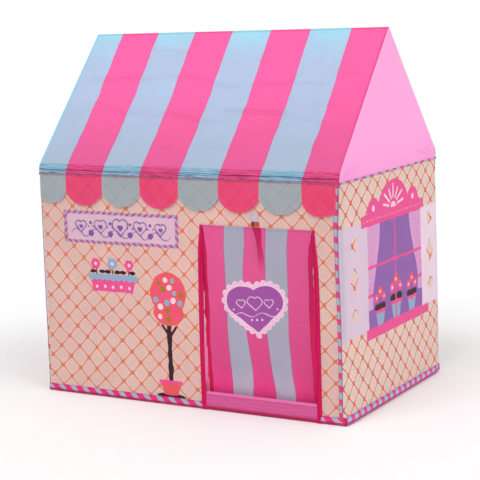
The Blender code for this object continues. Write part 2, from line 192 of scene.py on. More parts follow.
camera = stand("camera", bpy.data.cameras.new("camera"))
camera.data.lens, camera.data.sensor_width, camera.data.clip_end = 109.4, 36.0, 60.0
stance = Matrix.Translation((2.0788, -3.6557, 1.0913))
for degrees, axis in ((29.7008, "Z"), (80.9235, "X"), (-1.7698, "Z")):
    stance = stance @ Matrix.Rotation(math.radians(degrees), 4, axis)
camera.matrix_world = stance
scene.camera = camera

lamp("key_lamp", 1.15, 40, 44, -12)
lamp("side_lamp", 1.25, 60, 62, 78)
inside = stand("inside_lamp", bpy.data.lights.new("inside_lamp", "POINT"))
inside.data.energy, inside.data.shadow_soft_size = 3.0, 0.12
inside.location = (0.0, 0.0, 0.42)
inside.visible_camera = False

scene.world = bpy.data.worlds.new("studio")
sky = Recipe(scene.world)
sky.tree.nodes.clear()
dome, plain = [sky.node("ShaderNodeBackground", Color=WHITE, Strength=s).outputs[0] for s in (DOME_STRENGTH, 1.0)]
sky.node("ShaderNodeOutputWorld", Surface=sky.shaders(sky.seen_directly(), dome, plain))

floor_mesh = bpy.data.meshes.new("floor")
corners = [(x * FLOOR_REACH, y * FLOOR_REACH, 0) for x, y in ((-1, -1), (1, -1), (1, 1), (-1, 1))]
floor_mesh.from_pydata(corners, [], [(0, 1, 2, 3)])
floor = stand("floor", floor_mesh)
floor.location.z = -0.0004
floor_mesh.materials.append(bpy.data.materials.new("pale_floor"))
paint = Recipe(floor_mesh.materials[0])
matt = paint.feed(paint.tree.nodes["Principled BSDF"], Base_Color=(0.86, 0.86, 0.86, 1), Roughness=0.9,
                  Specular_IOR_Level=0.1)
place = paint.node("ShaderNodeTexCoord").outputs["Object"]
away = paint.worked("ShaderNodeVectorMath", "operation", "LENGTH", place)["Value"]
faded = paint.times(paint.soft(away, 0.75, 1.7), paint.seen_directly())
backdrop = paint.node("ShaderNodeEmission", Color=WHITE, Strength=1.0)
paint.feed(paint.tree.nodes["Material Output"], Surface=paint.shaders(faded, matt.outputs[0], backdrop.outputs[0]))
print("camera at", tuple(round(v, 3) for v in camera.matrix_world.translation))

# %% [markdown]
# ## A sheet of cloth
# Real cloth is one thin layer, and a panel could be a flat face with a picture on it. Here each
# panel is worked out as a grid of points on its outer face. The same grid is set in by the cloth's
# thickness for the inner face, and narrow faces close the edges, so every sheet is a closed shell.
# Each point also keeps its place on the cloth as it lay flat on the cutting table, and the prints
# read that place, so a print stays on the cloth when a flap or a valance moves.

# %% Make closed sheets from grids
def steady(array):
    """Unit vectors along the last axis of an array."""
    return array / np.maximum(np.linalg.norm(array, axis=-1, keepdims=True), 1e-12)


def mesh_piece(name, points, quads, finish, inks):
    """A mesh object from arrays of points and four-sided faces, shaded smooth with sharp rims."""
    mesh = bpy.data.meshes.new(name)
    mesh.vertices.add(len(points))
    mesh.vertices.foreach_set("co", points.astype(np.float32).ravel())
    mesh.loops.add(quads.size)
    mesh.loops.foreach_set("vertex_index", quads.astype(np.int32).ravel())
    mesh.polygons.add(len(quads))
    mesh.polygons.foreach_set("loop_start", np.arange(0, quads.size, 4, dtype=np.int32))
    mesh.polygons.foreach_set("loop_total", np.full(len(quads), 4, dtype=np.int32))
    mesh.update(calc_edges=True)
    for ink, values in inks.items():
        kind, field = ("FLOAT_VECTOR", "vector") if values.ndim == 2 else ("FLOAT", "value")
        mesh.attributes.new(ink, kind, "POINT").data.foreach_set(field, values.astype(np.float32).ravel())
    mesh.shade_smooth()
    mesh.set_sharp_from_angle(angle=math.radians(50))
    mesh.materials.append(finish)
    return stand(name, mesh)


def sheet(name, outer, flat, outward, finish, thick=THICK, kept=None, inks=None):
    """A closed sheet of cloth whose outer face is the grid outer[row, column].

    Inner point = outer point - thickness x unit normal. flat is the same grid on the cutting table.
    kept says which cells of the grid are cloth, and the edges of what is kept are closed.
    """
    rows, columns = outer.shape[:2]
    normal = steady(np.cross(np.gradient(outer, axis=1), np.gradient(outer, axis=0)))
    turned = (normal * outward).sum() < 0
    inner = outer - (-normal if turned else normal) * thick
    index = np.arange(rows * columns).reshape(rows, columns)
    kept = np.ones((rows - 1, columns - 1), bool) if kept is None else kept
    corners = [index[:-1, :-1], index[:-1, 1:], index[1:, 1:], index[1:, :-1]]
    padded = np.pad(kept, 1)
    beside = [padded[:-2, 1:-1], padded[1:-1, 2:], padded[2:, 1:-1], padded[1:-1, :-2]]
    back = rows * columns
    face = np.stack([c[kept] for c in corners], 1)
    face = face if turned else face[:, ::-1]
    quads = [face, face[:, ::-1] + back]
    for side in range(4):
        edge = kept & ~beside[side]
        a, b = corners[side][edge], corners[(side + 1) % 4][edge]
        a, b = (a, b) if turned else (b, a)
        quads.append(np.stack([b, a, a + back, b + back], 1))
    used, quads = np.unique(np.concatenate(quads), return_inverse=True)
    points = np.concatenate([outer.reshape(-1, 3), inner.reshape(-1, 3)])[used]
    spread = {"flat": np.dstack([flat[0], flat[1], np.zeros((rows, columns))]), **(inks or {})}
    spread = {k: np.concatenate([v.reshape(back, -1)] * 2)[used].squeeze() for k, v in spread.items()}
    return mesh_piece(name, points, quads.reshape(-1, 4), finish, spread)


def spaced(low, high, step, *through):
    """Places from low to high, about a step apart, that include each place in through."""
    stops = sorted({low, high, *[p for p in through if low < p < high]})
    runs = [np.linspace(a, b, max(2, round((b - a) / step) + 1))[:-1] for a, b in zip(stops, stops[1:])]
    return np.append(np.concatenate(runs), high)


def declare(piece, body, flat, nodes):
    """Attaches the piece to its body, if it has one, hides the solids that it stands for, and prints its faces and cut
    size.
    """
    if body:
        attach(piece, body)
    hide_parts(*nodes)
    print(piece.name, len(piece.data.polygons), "faces, cut", [round(float(s), 3) for s in flat])


# %% [markdown]
# ## Folds and waves
# Cloth over poles is never flat: it waves a little, sags, puckers along its seams and keeps the
# creases of its packing. They could be painted as shade, but only real shape catches the light from
# every side. So each is a small height added along the sheet's normal, from sums of sine waves
# whose random directions are drawn from a fixed seed. Some finishes lay painted shade in the folds,
# grooves and creases as well.

# %% Waves, creases and soft steps
def ease(value, start, end):
    """0 before start and 1 after end, with a smooth S between: t x t x (3 - 2t)."""
    t = np.clip((value - start) / (end - start), 0, 1)
    return t * t * (3 - 2 * t)


def bell(value, middle, width):
    """exp(-(distance from the middle / width) squared)."""
    return np.exp(-(((value - middle) / width) ** 2))


def fading(distance, reach):
    return np.exp(-distance / reach)


def waves(u, v, seed, shortest, longest, lean=None, spread=0.25, number=9):
    """A sum of sine waves of random lengths and directions, about -1 to 1.

    lean is the direction across the waves, in radians from u, and spread how far it strays.
    """
    draw = np.random.default_rng(seed)
    total = np.zeros(np.broadcast(u, v).shape)
    for _ in range(number):
        length = shortest * (longest / shortest) ** draw.random()
        turn = draw.uniform(0, math.pi) if lean is None else draw.normal(lean, spread)
        start = draw.uniform(0, 2 * math.pi)
        way = u * math.cos(turn) + v * math.sin(turn)
        total += np.sin(2 * math.pi * way / length + start) * (length / longest) ** 0.5
    return total / math.sqrt(number / 2) / 1.6


def crease(u, v, start, end, width):
    """A soft ridge along the line from start to end: a bell over the distance, fading at the ends."""
    run = math.hypot(end[0] - start[0], end[1] - start[1])
    du, dv = (end[0] - start[0]) / run, (end[1] - start[1]) / run
    along = (u - start[0]) * du + (v - start[1]) * dv
    across = (v - start[1]) * du - (u - start[0]) * dv
    return bell(across, 0, width) * ease(along, 0, run * 0.35) * (1 - ease(along, run * 0.65, run))


def packing(u, v, lines_u, lines_v, width=0.003):
    """The sharp-backed creases that folded cloth keeps, along lines of fixed u and of fixed v."""
    return sum(fading(np.abs(way - line), width) for way, lines in ((u, lines_u), (v, lines_v)) for line in lines)


# %% [markdown]
# ## Lines that turn corners
# A roof panel, a pole sleeve and a corner tape are each one strip of cloth that runs straight and
# turns round an edge. Their section is a path of straight runs joined by arcs, and walking along
# it gives both the point and the direction that the cloth faces.

# %% Walk along a path with rounded corners
def rounded(corners, radii, steps=10):
    """Points of a path through the corners, each inner corner replaced by an arc of its radius."""
    points = [np.array(corners[0], float)]
    for before, corner, after, radius in zip(corners, corners[1:], corners[2:], radii):
        before, corner, after = (np.array(p, float) for p in (before, corner, after))
        back, on = steady(before - corner), steady(after - corner)
        half = math.acos(np.clip(back @ on, -1, 1)) / 2
        middle = corner + steady(back + on) * radius / math.sin(half)
        first, last = (corner + way * radius / math.tan(half) for way in (back, on))
        share = np.linspace(0, 1, steps)[:, None]
        points.extend(middle + steady((first - middle) * (1 - share) + (last - middle) * share) * radius)
    points.append(np.array(corners[-1], float))
    return np.array(points)


def length_of(path):
    return np.linalg.norm(np.diff(path, axis=0), axis=1).sum()


def placed(path, stations):
    """Points of a plane path at these distances along it."""
    steps = np.append(0, np.cumsum(np.linalg.norm(np.diff(path, axis=0), axis=1)))
    return np.stack([np.interp(stations, steps, path[:, i]) for i in (0, 1)], 1)


def walk(path, stations, reach=0.0004):
    """Points and unit normals of a plane path at these distances along it. The normal is on its left."""
    way = steady(placed(path, stations + reach) - placed(path, stations - reach))
    return placed(path, stations), np.stack([-way[:, 1], way[:, 0]], 1)


# %% [markdown]
# ## Cloth finishes
# The cloth is thin coated polyester: a fine plain weave, a faint sheen, and a little light that
# comes through it. A finish starts from the ground colour, and inks are laid over it one by one, as
# a printer lays them; painted highlights and painted shade are laid over it in the same way. An
# ink's shape is a distance that the sheet carries at its points, below zero inside the shape, so
# its edge stays crisp at any size.

# %% Dye and print cloth
class Finish(Recipe):
    """A material that is put together step by step: ground colour, inks, then weave and sheen."""

    def __init__(self, name, ground, roughness=0.6):
        self.material = bpy.data.materials.new(name)
        super().__init__(self.material)
        self.shader = self.feed(self.tree.nodes["Principled BSDF"], Roughness=roughness)
        self.colour = tone(*ground)
        self.heights = []
        self.flat = self.named("flat", "Vector")
        self.u, self.v = self.node("ShaderNodeSeparateXYZ", Vector=self.flat).outputs[:2]

    def noise(self, scale, detail=2.0, colour=False):
        """Noise over the flat place. Two scales stretch it along the cloth and across it."""
        place = self.flat
        if isinstance(scale, tuple):
            place = self.worked("ShaderNodeVectorMath", "operation", "MULTIPLY", place, (*scale, 1))[0]
            scale = 1.0
        made = self.node("ShaderNodeTexNoise", Vector=place, Scale=scale, Detail=detail)
        return self.node("ShaderNodeSeparateColor", Color=made.outputs[1]).outputs if colour else made.outputs[0]

    def patches(self, scale, detail, start, end):
        """Noise turned into patches: 0 where it is at start and 1 where it is at end."""
        return self.soft(self.noise(scale, detail), start, end)

    def restart(self, colour):
        """Starts again from a colour, and gives back what has been laid so far."""
        laid, self.colour = self.colour, colour if isinstance(colour, bpy.types.NodeSocket) else tone(*colour)
        return laid

    def lay(self, colour, *shares):
        """Covers what is there with a colour, by the product of the shares, each from 0 to 1."""
        colour = colour if isinstance(colour, bpy.types.NodeSocket) else tone(*colour)
        self.colour = self.colours(self.times(*shares), self.colour, colour)

    def inside(self, attribute, soft=0.0005):
        """1 where the distance that the sheet carries is below zero."""
        return self.soft(attribute, soft, -soft)

    def ink(self, attribute, colour, soft=0.0005, strength=1.0):
        self.lay(colour, self.inside(attribute, soft), strength)

    def bands(self, way, pitch, share=0.5, soft=0.0007):
        """1 on this share of each pitch of the way, 0 between."""
        turn = self.maths("FRACT", self.maths("DIVIDE", way, pitch))
        reach = self.maths("SUBTRACT", share / 2, self.maths("ABSOLUTE", self.maths("SUBTRACT", turn, 0.5)))
        return self.soft(self.times(reach, pitch), -soft, soft)

    def raised(self, height, depth):
        """Adds a fine relief, this deep in metres where height is 1."""
        self.heights.append((height, depth))

    def done(self, glow=0.3, sheen=0.12, mottle=0.08, gloss=0.4):
        """Adds the dye's mottle and the weave, and joins the shaders. glow is how much light comes through."""
        self.lay((0, 0, 0), self.maths("MULTIPLY_ADD", self.noise(14, 4.0), 2 * mottle, -0.7 * mottle))
        threads = [self.maths("SINE", self.times(way, 9000.0)) for way in (self.u, self.v)]
        self.raised(self.times(*threads), 0.00002)
        for scale in ((900, 90), (90, 900)):
            self.raised(self.noise(scale), 0.00006)
        for height, depth in self.heights:
            bump = self.node("ShaderNodeBump", Height=height, Distance=depth, Strength=1.0)
            if self.shader.inputs["Normal"].links:
                self.feed(bump, Normal=self.shader.inputs["Normal"].links[0].from_socket)
            self.feed(self.shader, Normal=bump.outputs[0])
        self.feed(self.shader, Base_Color=self.colour, Specular_IOR_Level=gloss, Sheen_Weight=sheen,
                  Sheen_Roughness=0.4)
        through = self.node("ShaderNodeBsdfTranslucent", Color=self.colour)
        both = self.shaders(glow, self.shader.outputs[0], through.outputs[0])
        self.feed(self.tree.nodes["Material Output"], Surface=both)
        return self.material


# %% [markdown]
# ## Poles and sockets
# The frame is white plastic tube pushed into moulded grey sockets. Their solids have the right
# shape, so they stay and only get a finish: a smooth mottled plastic, with a finer grain on the
# mouldings than on the tube.

# %% Finish the poles and sockets
def plastic(name, colour, roughness, grain):
    """Moulded or drawn plastic: a mottled colour, uneven gloss and a fine grain."""
    made = bpy.data.materials.new(name)
    recipe = Recipe(made)
    place = recipe.node("ShaderNodeTexCoord").outputs["Object"]
    noise = recipe.node("ShaderNodeTexNoise", Vector=place, Scale=grain, Detail=3.0).outputs[0]
    dark, pale = ((*[min(c * share, 0.95) for c in colour], 1) for share in (0.9, 1.05))
    gloss = recipe.worked("ShaderNodeMapRange", None, None, noise, 0.0, 1.0, roughness - 0.08, roughness + 0.08)[0]
    bump = recipe.node("ShaderNodeBump", Height=noise, Distance=0.0002, Strength=0.5)
    recipe.feed(recipe.tree.nodes["Principled BSDF"], Base_Color=recipe.colours(noise, dark, pale),
                Roughness=gloss, Normal=bump.outputs[0])
    return made


POLE_PLASTIC = plastic("pole_plastic", (0.80, 0.80, 0.78), 0.42, 60)
SOCKET_PLASTIC = plastic("socket_plastic", (0.60, 0.60, 0.62), 0.5, 400)
for name, node in frame["nodes"].items():
    if "pole" in name or "post" in name or "rafter" in name:
        node.data.materials[0] = POLE_PLASTIC
    elif name.startswith(("base_corner", "eave_corner", "ridge_corner")):
        node.data.materials[0] = SOCKET_PLASTIC
print("poles and sockets finished")

# %% [markdown]
# ## Roof
# Each slope is one cloth from the ridge to the eave, where it turns down over the pole and ends in
# a gathered band. It could be a bent plane. Here the section is a path with rounded corners, and
# heights are added for the sag between the rafters, slow waves, packing creases, and the tight
# crossways wrinkles of the band. The stripes have the slightly wavy edges of a hand-drawn print.

# %% Dye the roof cloth and paint its light and shade
def roof_finish():
    """Blue and pink stripes, each deeper towards the eave, with the double cloth and the puckers, painted shade in the
    folds and grooves, and streaks of painted highlight and shade on the band.
    """
    made = Finish("roof_cloth", (170, 224, 243), 0.55)
    streak = made.noise((20, 640), 3.0)
    lower, shade = made.soft(made.v, 0.14, 0.50), made.soft("shade", 0.1, 1.1)
    # Streaks of painted highlight and painted shade along the eave band, from the same noise.
    highlight_streaks, dark = (made.times(made.soft(streak, *ends), "band") for ends in ((0.52, 0.68), (0.48, 0.36)))
    cloudy = made.maths("MULTIPLY_ADD", made.noise(7), 1.3, -0.65)
    made.lay((185, 202, 230), made.maths("ADD", made.soft(made.v, -0.03, 0.12), cloudy))

    def shaded(low, folds, doubled, crest, light, deep, groove, cover, glint):
        """Lays the seven tones of one stripe, from the lower slope's to the groove's. The tones for the folds, the
        dark streaks and the grooves are painted shade, and the one for the bright streaks is a painted highlight.
        """
        made.lay(low, lower)
        made.lay(folds, shade, 0.34)
        made.lay(doubled, "double", cover)
        made.lay(crest, "crest")
        made.lay(light, highlight_streaks, glint)
        made.lay(deep, dark, 0.7)
        made.lay(groove, made.soft("groove", 0.10, 0.85))

    shaded((173, 190, 212), (170, 172, 206), (138, 212, 228), (104, 178, 200), (190, 208, 232), (58, 130, 164),
           (56, 80, 136), 0.85, 0.75)
    blue = made.restart((254, 100, 174))
    shaded((228, 90, 154), (222, 74, 142), (238, 70, 148), (220, 44, 114), (250, 104, 170), (186, 18, 84),
           (128, 6, 62), 0.7, 0.6)
    pink = made.restart(blue)
    made.lay(pink, made.soft("stripe", -0.0005, 0.0005))
    made.lay((190, 52, 122), "stitch", made.bands(made.u, 0.0098, share=0.62), 0.85)
    near = made.maths("ABSOLUTE", "stripe")
    seam = made.soft(near, 0.0014, 0.0002)
    made.lay((150, 60, 120), seam, 0.22)
    made.raised(made.times(made.soft(near, 0.013, 0.001), made.noise((45, 130), 1.0)), 0.0011)
    made.raised(seam, -0.0004)
    return made.done(glow=0.26, mottle=0.05)


ROOF_CLOTH = roof_finish()

# %% [markdown]
# The eave band is where the roof cloth, the wall and the valance are sewn together over the pole,
# so it is double and pulls into wrinkles that run along the eave. Each wrinkle is a bell-shaped
# ridge across the band that wanders along it and breaks up into streaks. Painted highlights and
# painted shade lie along the same streaks, more painted shade fills the grooves between the
# wrinkles, and a dashed line of magenta stitches runs along the band's foot.

# %% Cut and hang the roof
EAVE_BEND, RIDGE_BEND, ROOF_SAG, CREST = 0.042, 0.002, 0.005, 0.0265
ROOF_SECTION = rounded(
    [(-HALF_DEPTH, SEAM), (-HALF_DEPTH, EAVE), (0, RIDGE), (HALF_DEPTH, EAVE), (HALF_DEPTH, SEAM)],
    [EAVE_BEND, RIDGE_BEND, EAVE_BEND],
)
ROOF_SLOPE = ROOF_SECTION[len(ROOF_SECTION) // 2:]
ROOF_SLOPE = np.vstack([(ROOF_SECTION[len(ROOF_SECTION) // 2 - 1] + ROOF_SLOPE[0]) / 2, ROOF_SLOPE])
ROOF_LENGTH = length_of(ROOF_SLOPE)


def stripe_distance(x, wobble):
    """How far a point is inside a pink stripe, or below zero how far inside a blue one."""
    turn = np.mod((x - wobble + HALF_WIDTH - FIRST_STRIPE) / STRIPE, 2)
    return STRIPE * np.where(turn < 1, np.minimum(turn, 1 - turn), -np.minimum(turn - 1, 2 - turn))


def ridge_lift(x):
    """How far the loose cloth stands off the ridge pole, a little more towards the right end."""
    return 0.003 + 0.004 * (x / HALF_WIDTH + 1) / 2


def band_folds(x, above, seed):
    """The folds of the gathered band: deep ones in its middle with the sewn line below them, and soft ones above.

    Each is a bell over the height above the seam, times long streaks whose strength wanders along the eave.
    """
    streak = waves(x * 0.06, above, seed, 0.0024, 0.0075, lean=math.pi / 2, spread=0.5)
    second = waves(x * 0.11, above, seed + 1, 0.0035, 0.0100, lean=math.pi / 2, spread=0.6)
    along = waves(x, above * 0, seed + 2, 0.030, 0.16)
    stitched = waves(x, above * 0, seed + 3, 0.010, 0.035)
    deep = bell(above, 0.0124 + 0.0010 * along, 0.0042) * np.clip(0.30 + 1.15 * streak, 0, 1)
    sewn = bell(above, 0.0034 + 0.0004 * along, 0.0011) * np.clip(0.45 + 0.8 * stitched, 0, 1)
    lower = bell(above, 0.0078 + 0.0008 * along, 0.0017) * np.clip(0.9 * second, 0, 0.8)
    upper = bell(above, 0.0245, 0.0050) * np.clip(0.50 + 0.8 * second, 0, 1)
    return np.maximum.reduce([deep, sewn, lower]), upper


def roof_cloth(side, facing, seed):
    """One slope. Point = section point + height x normal, where height = sag + waves + folds of the band."""
    down = np.concatenate([
        spaced(0.00015, 0.012, 0.0012)[:-1],
        spaced(0.012, ROOF_LENGTH - 0.034, 0.0068)[:-1],
        spaced(ROOF_LENGTH - 0.034, ROOF_LENGTH, 0.0010),
    ])
    x, s = np.meshgrid(spaced(-HALF_WIDTH, HALF_WIDTH, 0.0042), down)
    place, normal = walk(ROOF_SLOPE, down)
    above, edge = ROOF_LENGTH - s, HALF_WIDTH - np.abs(x)
    sag = np.sin(math.pi * np.clip(s / (ROOF_LENGTH - 0.030), 0, 1))
    slack = sag * (1 - ease(np.abs(x), HALF_WIDTH - 0.05, HALF_WIDTH))
    folds = waves(x * 0.45, s, seed + 1, 0.040, 0.13, lean=math.pi / 2 + 0.12, spread=0.34)
    height = -ROOF_SAG * sag * (1 - (x / HALF_WIDTH) ** 2)
    height += slack * (0.0007 * waves(x, s, seed, 0.09, 0.30) + 0.0018 * folds)
    height += 0.0005 * slack * packing(x, s, (-0.237, 0.0, 0.238), (0.235,), 0.004)
    near = fading(np.maximum(above - CREST, 0), 0.016) * ease(above, CREST - 0.004, CREST + 0.004)
    height += 0.0022 * near * waves(x + s * 0.9, s * 0.35, seed + 5, 0.014, 0.05, lean=0.0, spread=0.3)
    for sign in (-1, 1):
        corner = (sign * (HALF_WIDTH - 0.012), ROOF_LENGTH - 0.031)
        for lean, run in ((0.9, 0.13), (0.55, 0.10), (1.2, 0.09)):
            end = (corner[0] - sign * run * math.cos(lean), corner[1] - run * math.sin(lean))
            height += 0.0009 * crease(x, s, corner, end, 0.006)
    # The deep folds of the band also mark where painted shade is laid in its grooves.
    groove, upper = band_folds(x, above, seed + 7)
    band = ease(above, 0.0, 0.002) * (1 - ease(above, CREST, CREST + 0.006))
    height += band * (0.0012 - 0.0011 * groove + 0.0005 * upper)
    drift = 0.0068 * ease(s, 0.05, 0.30) * (0.1 + 0.9 * ease(above, 0.002, 0.026))
    wobble = drift + 0.0011 * waves(s, x * 0.3, 5, 0.05, 0.2)
    out, z = (place[:, i:i + 1] + normal[:, i:i + 1] * height for i in (0, 1))
    outer = np.dstack([x, facing * out, z + ridge_lift(x) * (1 - s / ROOF_LENGTH)])
    inks = {
        "stripe": stripe_distance(x, wobble),
        "double": np.maximum(1 - ease(s, 0.0065, 0.0085), 1 - ease(edge, 0.0042, 0.0060)),
        "crest": np.clip(0.30 * band + 0.35 * bell(above, 0.0115, 0.0065) + 0.75 * upper, 0, 1),
        "groove": groove * band, "shade": folds * slack, "band": band, "stitch": bell(above, 0.0022, 0.0010),
    }
    return sheet(f"{side}_roof_cloth", outer, (x, s), (0, facing, 1), ROOF_CLOTH, inks=inks)


for side, facing, seed in (("front", -1, 11), ("back", 1, 31)):
    declare(roof_cloth(side, facing, seed), "tent", (2 * HALF_WIDTH, ROOF_LENGTH),
            [f"{side}_roof"])

# %% [markdown]
# ## Gables
# The gables are plain light pink cloth, sewn under the edges of the roof. Each is a grid whose
# rows are squeezed between the straight seam and the roof line, a touch slack in the middle, with a
# fan of fine creases where the seams meet at the lower corners.

# %% Dye the gables, paint their light and shade, and cut them
GABLE = Finish("gable_cloth", (254, 172, 226), 0.55)
# Painted shade: a deeper pink towards the foot. Then a painted highlight along the roof line, and painted shade below
# each crease.
GABLE.lay((246, 150, 214), GABLE.soft(GABLE.v, 0.76, 0.63), 0.35)
GABLE.lay((255, 206, 240), "edge", 0.8)
GABLE.lay((238, 136, 204), "groove", 0.32)
GABLE_CLOTH = GABLE.done(glow=0.22, mottle=0.03)
INNER_HALF = HALF_DEPTH - THICK - CLEAR


def gable_cloth(side, facing, seed):
    """Point = (side face + height, y, seam + share x (roof line - seam))."""
    place, normal = walk(ROOF_SLOPE, np.linspace(0, ROOF_LENGTH, 800))
    under = place - normal * (THICK + CLEAR)
    y, share = np.meshgrid(spaced(-INNER_HALF, INNER_HALF, 0.0048), np.linspace(0, 1, 76))
    top = np.interp(np.abs(y), np.maximum.accumulate(under[:, 0]), under[:, 1])
    top += ridge_lift(facing * HALF_WIDTH) * (1 - np.abs(y) / HALF_DEPTH)
    z = SEAM + (top - SEAM) * share
    below_roof = (top - z) * 0.67
    room = np.minimum(z - SEAM, below_roof)
    slack = ease(room, 0, 0.045)
    height = 0.0009 * slack * waves(y, z, seed, 0.08, 0.26) - 0.0012 * ease(room, 0, 0.12)
    height += 0.0004 * slack * packing(y, z, (0.0,), (0.80,), 0.004)
    groove = np.zeros_like(y)
    for sign in (-1, 1):
        corner = (sign * (INNER_HALF - 0.004), SEAM + 0.004)
        for lean, run in ((0.10, 0.11), (0.28, 0.16), (0.47, 0.13), (0.62, 0.09)):
            end = (corner[0] - sign * run * math.cos(lean), corner[1] + run * math.sin(lean))
            height += 0.0007 * crease(y, z, corner, end, 0.0060)
            # A copy of each crease a little lower marks where painted shade is laid.
            lower = crease(y, z, (corner[0], corner[1] - 0.002), (end[0], end[1] - 0.006), 0.005)
            groove = np.maximum(groove, lower)
    height = np.maximum(height, -0.0024 * ease(room, 0.0, 0.03))
    inks = {"edge": 1 - ease(below_roof, 0.0018, 0.0035), "groove": groove}
    outer = np.dstack([facing * (HALF_WIDTH + height), y, z])
    return sheet(f"{side}_gable_cloth", outer, (y, z), (facing, 0, 0), GABLE_CLOTH, inks=inks)


for side, facing, seed in (("left", -1, 51), ("right", 1, 52)):
    declare(gable_cloth(side, facing, seed), "tent", (2 * HALF_DEPTH, RIDGE - SEAM),
            [f"{side}_gable"])

# %% [markdown]
# ## Shapes for the print
# The walls are printed with plain shop-front pictures. Each shape is a distance worked out for all
# points of the sheet at once, below zero inside it. The smaller of two distances joins two shapes,
# and the larger of one and minus the other cuts a hole. A slow wobble of the points before the
# distance is taken gives every edge the look of a brush.

# %% Drawn shapes as distances
def disc(u, v, centre, radius):
    return np.hypot(u - centre[0], v - centre[1]) - radius


def oval(u, v, centre, half):
    """Near its edge, (length of the point over the half sizes - 1) x the smaller half size."""
    return (np.hypot((u - centre[0]) / half[0], (v - centre[1]) / half[1]) - 1) * min(half)


def dome(u, v, centre, half):
    """The upper half of an oval."""
    return np.maximum(oval(u, v, centre, half), centre[1] - v)


def block(u, v, low, high, corner=0.0):
    """A rectangle with rounded corners."""
    du, dv = (np.abs(w - (a + b) / 2) - (b - a) / 2 + corner for w, a, b in zip((u, v), low, high))
    return np.hypot(np.maximum(du, 0), np.maximum(dv, 0)) + np.minimum(np.maximum(du, dv), 0) - corner


def tapered(u, v, low, high, foot, head):
    """A block whose half width goes from foot at its lower edge to head at its upper one."""
    share = np.clip((v - low[1]) / (high - low[1]), 0, 1)
    sides = np.abs(u - low[0]) - (foot + (head - foot) * share)
    return np.maximum(sides, np.maximum(low[1] - v, v - high))


def stroke(u, v, points, half):
    """A brush line of this half width through the points: the least distance to any of its runs."""
    best = np.full(np.broadcast(u, v).shape, 9.0)
    for (ua, va), (ub, vb) in zip(points, points[1:]):
        run = (ub - ua) ** 2 + (vb - va) ** 2
        t = np.clip(((u - ua) * (ub - ua) + (v - va) * (vb - va)) / run, 0, 1)
        best = np.minimum(best, np.hypot(u - ua - t * (ub - ua), v - va - t * (vb - va)))
    return best - half


def heart(u, v, tip, width, height):
    """Two round lobes over a square stood on its corner, stretched to the width and height."""
    x, y = np.abs(u - tip[0]) / width * 1.2071, (v - tip[1]) / height * 1.1036
    lobes = np.hypot(x - 0.25, y - 0.75) - 0.35355
    middle = np.maximum(x + y, 0) / 2
    point = np.minimum(np.hypot(x, y - 1), np.hypot(x - middle, y - middle)) * np.sign(x - y)
    return np.where(x + y > 1, lobes, point) * (width + height) / 2 / 1.155


def blossom(u, v, centre, radius, petals=5, depth=0.22, turn=0.0):
    """A round flower: its radius swells and shrinks as many times round as it has petals."""
    angle = np.arctan2(v - centre[1], u - centre[0]) + turn
    return disc(u, v, centre, radius * (1 - depth + depth * np.abs(np.cos(petals * angle / 2))))


def joined(*shapes):
    return np.minimum.reduce([*shapes])


def many(shape, u, v, places, *size):
    """The same shape at each of several places, joined."""
    return joined(*[shape(u, v, place, *size) for place in places])


def outlined(shape, width):
    return np.maximum(shape, -shape - width)


def brushed(u, v, seed, reach=0.0011):
    """The points, wobbled a little, so that what is drawn on them has an uneven edge."""
    return u + reach * waves(u, v, seed, 0.02, 0.07), v + reach * waves(u, v, seed + 1, 0.02, 0.07)


# %% [markdown]
# ## The lattice print
# Every wall has the same ground: warm cream crossed by an orange lattice of diamonds, drawn by
# hand, with a blob of paint where two lines cross. Two families of slanting lines are taken from
# the flat place, a slow noise bends them, and a smooth minimum of the two distances fills the
# corners of each crossing.

# %% Print a lattice on a finish, with a painted highlight beside its lines
def lattice(made, pitch_u, pitch_v, start, half, colour, rim, strength=1.0, fan=(0.0, 0.0), blur=0.0007):
    """Lays the lattice: distance = smooth minimum of the distances to the two families of lines, with a paler rim
    beside each line as a painted highlight.

    fan = (middle, growth): the pattern widens from its middle as it goes up, by this share for each metre.
    """
    slow, quick = 0.018, 0.0036
    bend, fine = made.noise(7.5, 1.0, colour=True), made.noise(60.0, 2.0, colour=True)
    wide = made.maths("MULTIPLY_ADD", made.maths("SUBTRACT", made.v, start[1]), fan[1], 1.0)
    spread = made.maths("ADD", made.maths("DIVIDE", made.maths("SUBTRACT", made.u, fan[0]), wide), fan[0])
    places = []
    for axis, (value, pitch) in enumerate(((spread, pitch_u), (made.v, pitch_v))):
        bent = made.maths("MULTIPLY_ADD", bend[axis], slow, value)
        drawn = made.maths("MULTIPLY_ADD", fine[axis], quick, bent)
        centred = made.maths("SUBTRACT", drawn, start[axis] + (slow + quick) / 2)
        places.append(made.maths("DIVIDE", centred, pitch))
    near = []
    for operation in ("ADD", "SUBTRACT"):
        turn = made.maths("FRACT", made.maths("ADD", made.maths(operation, *places), 0.5))
        off = made.maths("ABSOLUTE", made.maths("SUBTRACT", turn, 0.5))
        near.append(made.times(off, 1 / math.hypot(1 / pitch_u, 1 / pitch_v)))
    distance = made.maths("SMOOTH_MIN", *near, 0.0135)
    # Painted highlight: a paler rim beside each line, as on an embossed lattice.
    made.lay(rim, made.soft(distance, half + 0.0052, half + 0.0012), 0.45 * strength)
    made.lay(colour, made.soft(distance, half + blur, half - blur), strength)


# rim is the colour of the painted highlight beside the lattice lines.
FRONT_LATTICE = dict(pitch_u=0.0608, pitch_v=0.0586, start=(-0.4266, 0.4332), half=0.0016,
                     colour=(226, 134, 104), rim=(240, 214, 204))
SIDE_LATTICE = dict(pitch_u=0.0614, pitch_v=0.0565, start=(-0.2652, 0.0443), half=0.0020, fan=(0.006, 0.19),
                    colour=(224, 116, 98), rim=(244, 232, 218))

# %% [markdown]
# The front wall carries a name board, left without words: a lilac plate with a candy-striped
# border and a garland of hearts. Below it hang a small flower box and, beside the door, a round rose
# tree on a dark stem. They are plain motifs in the colours of the print.

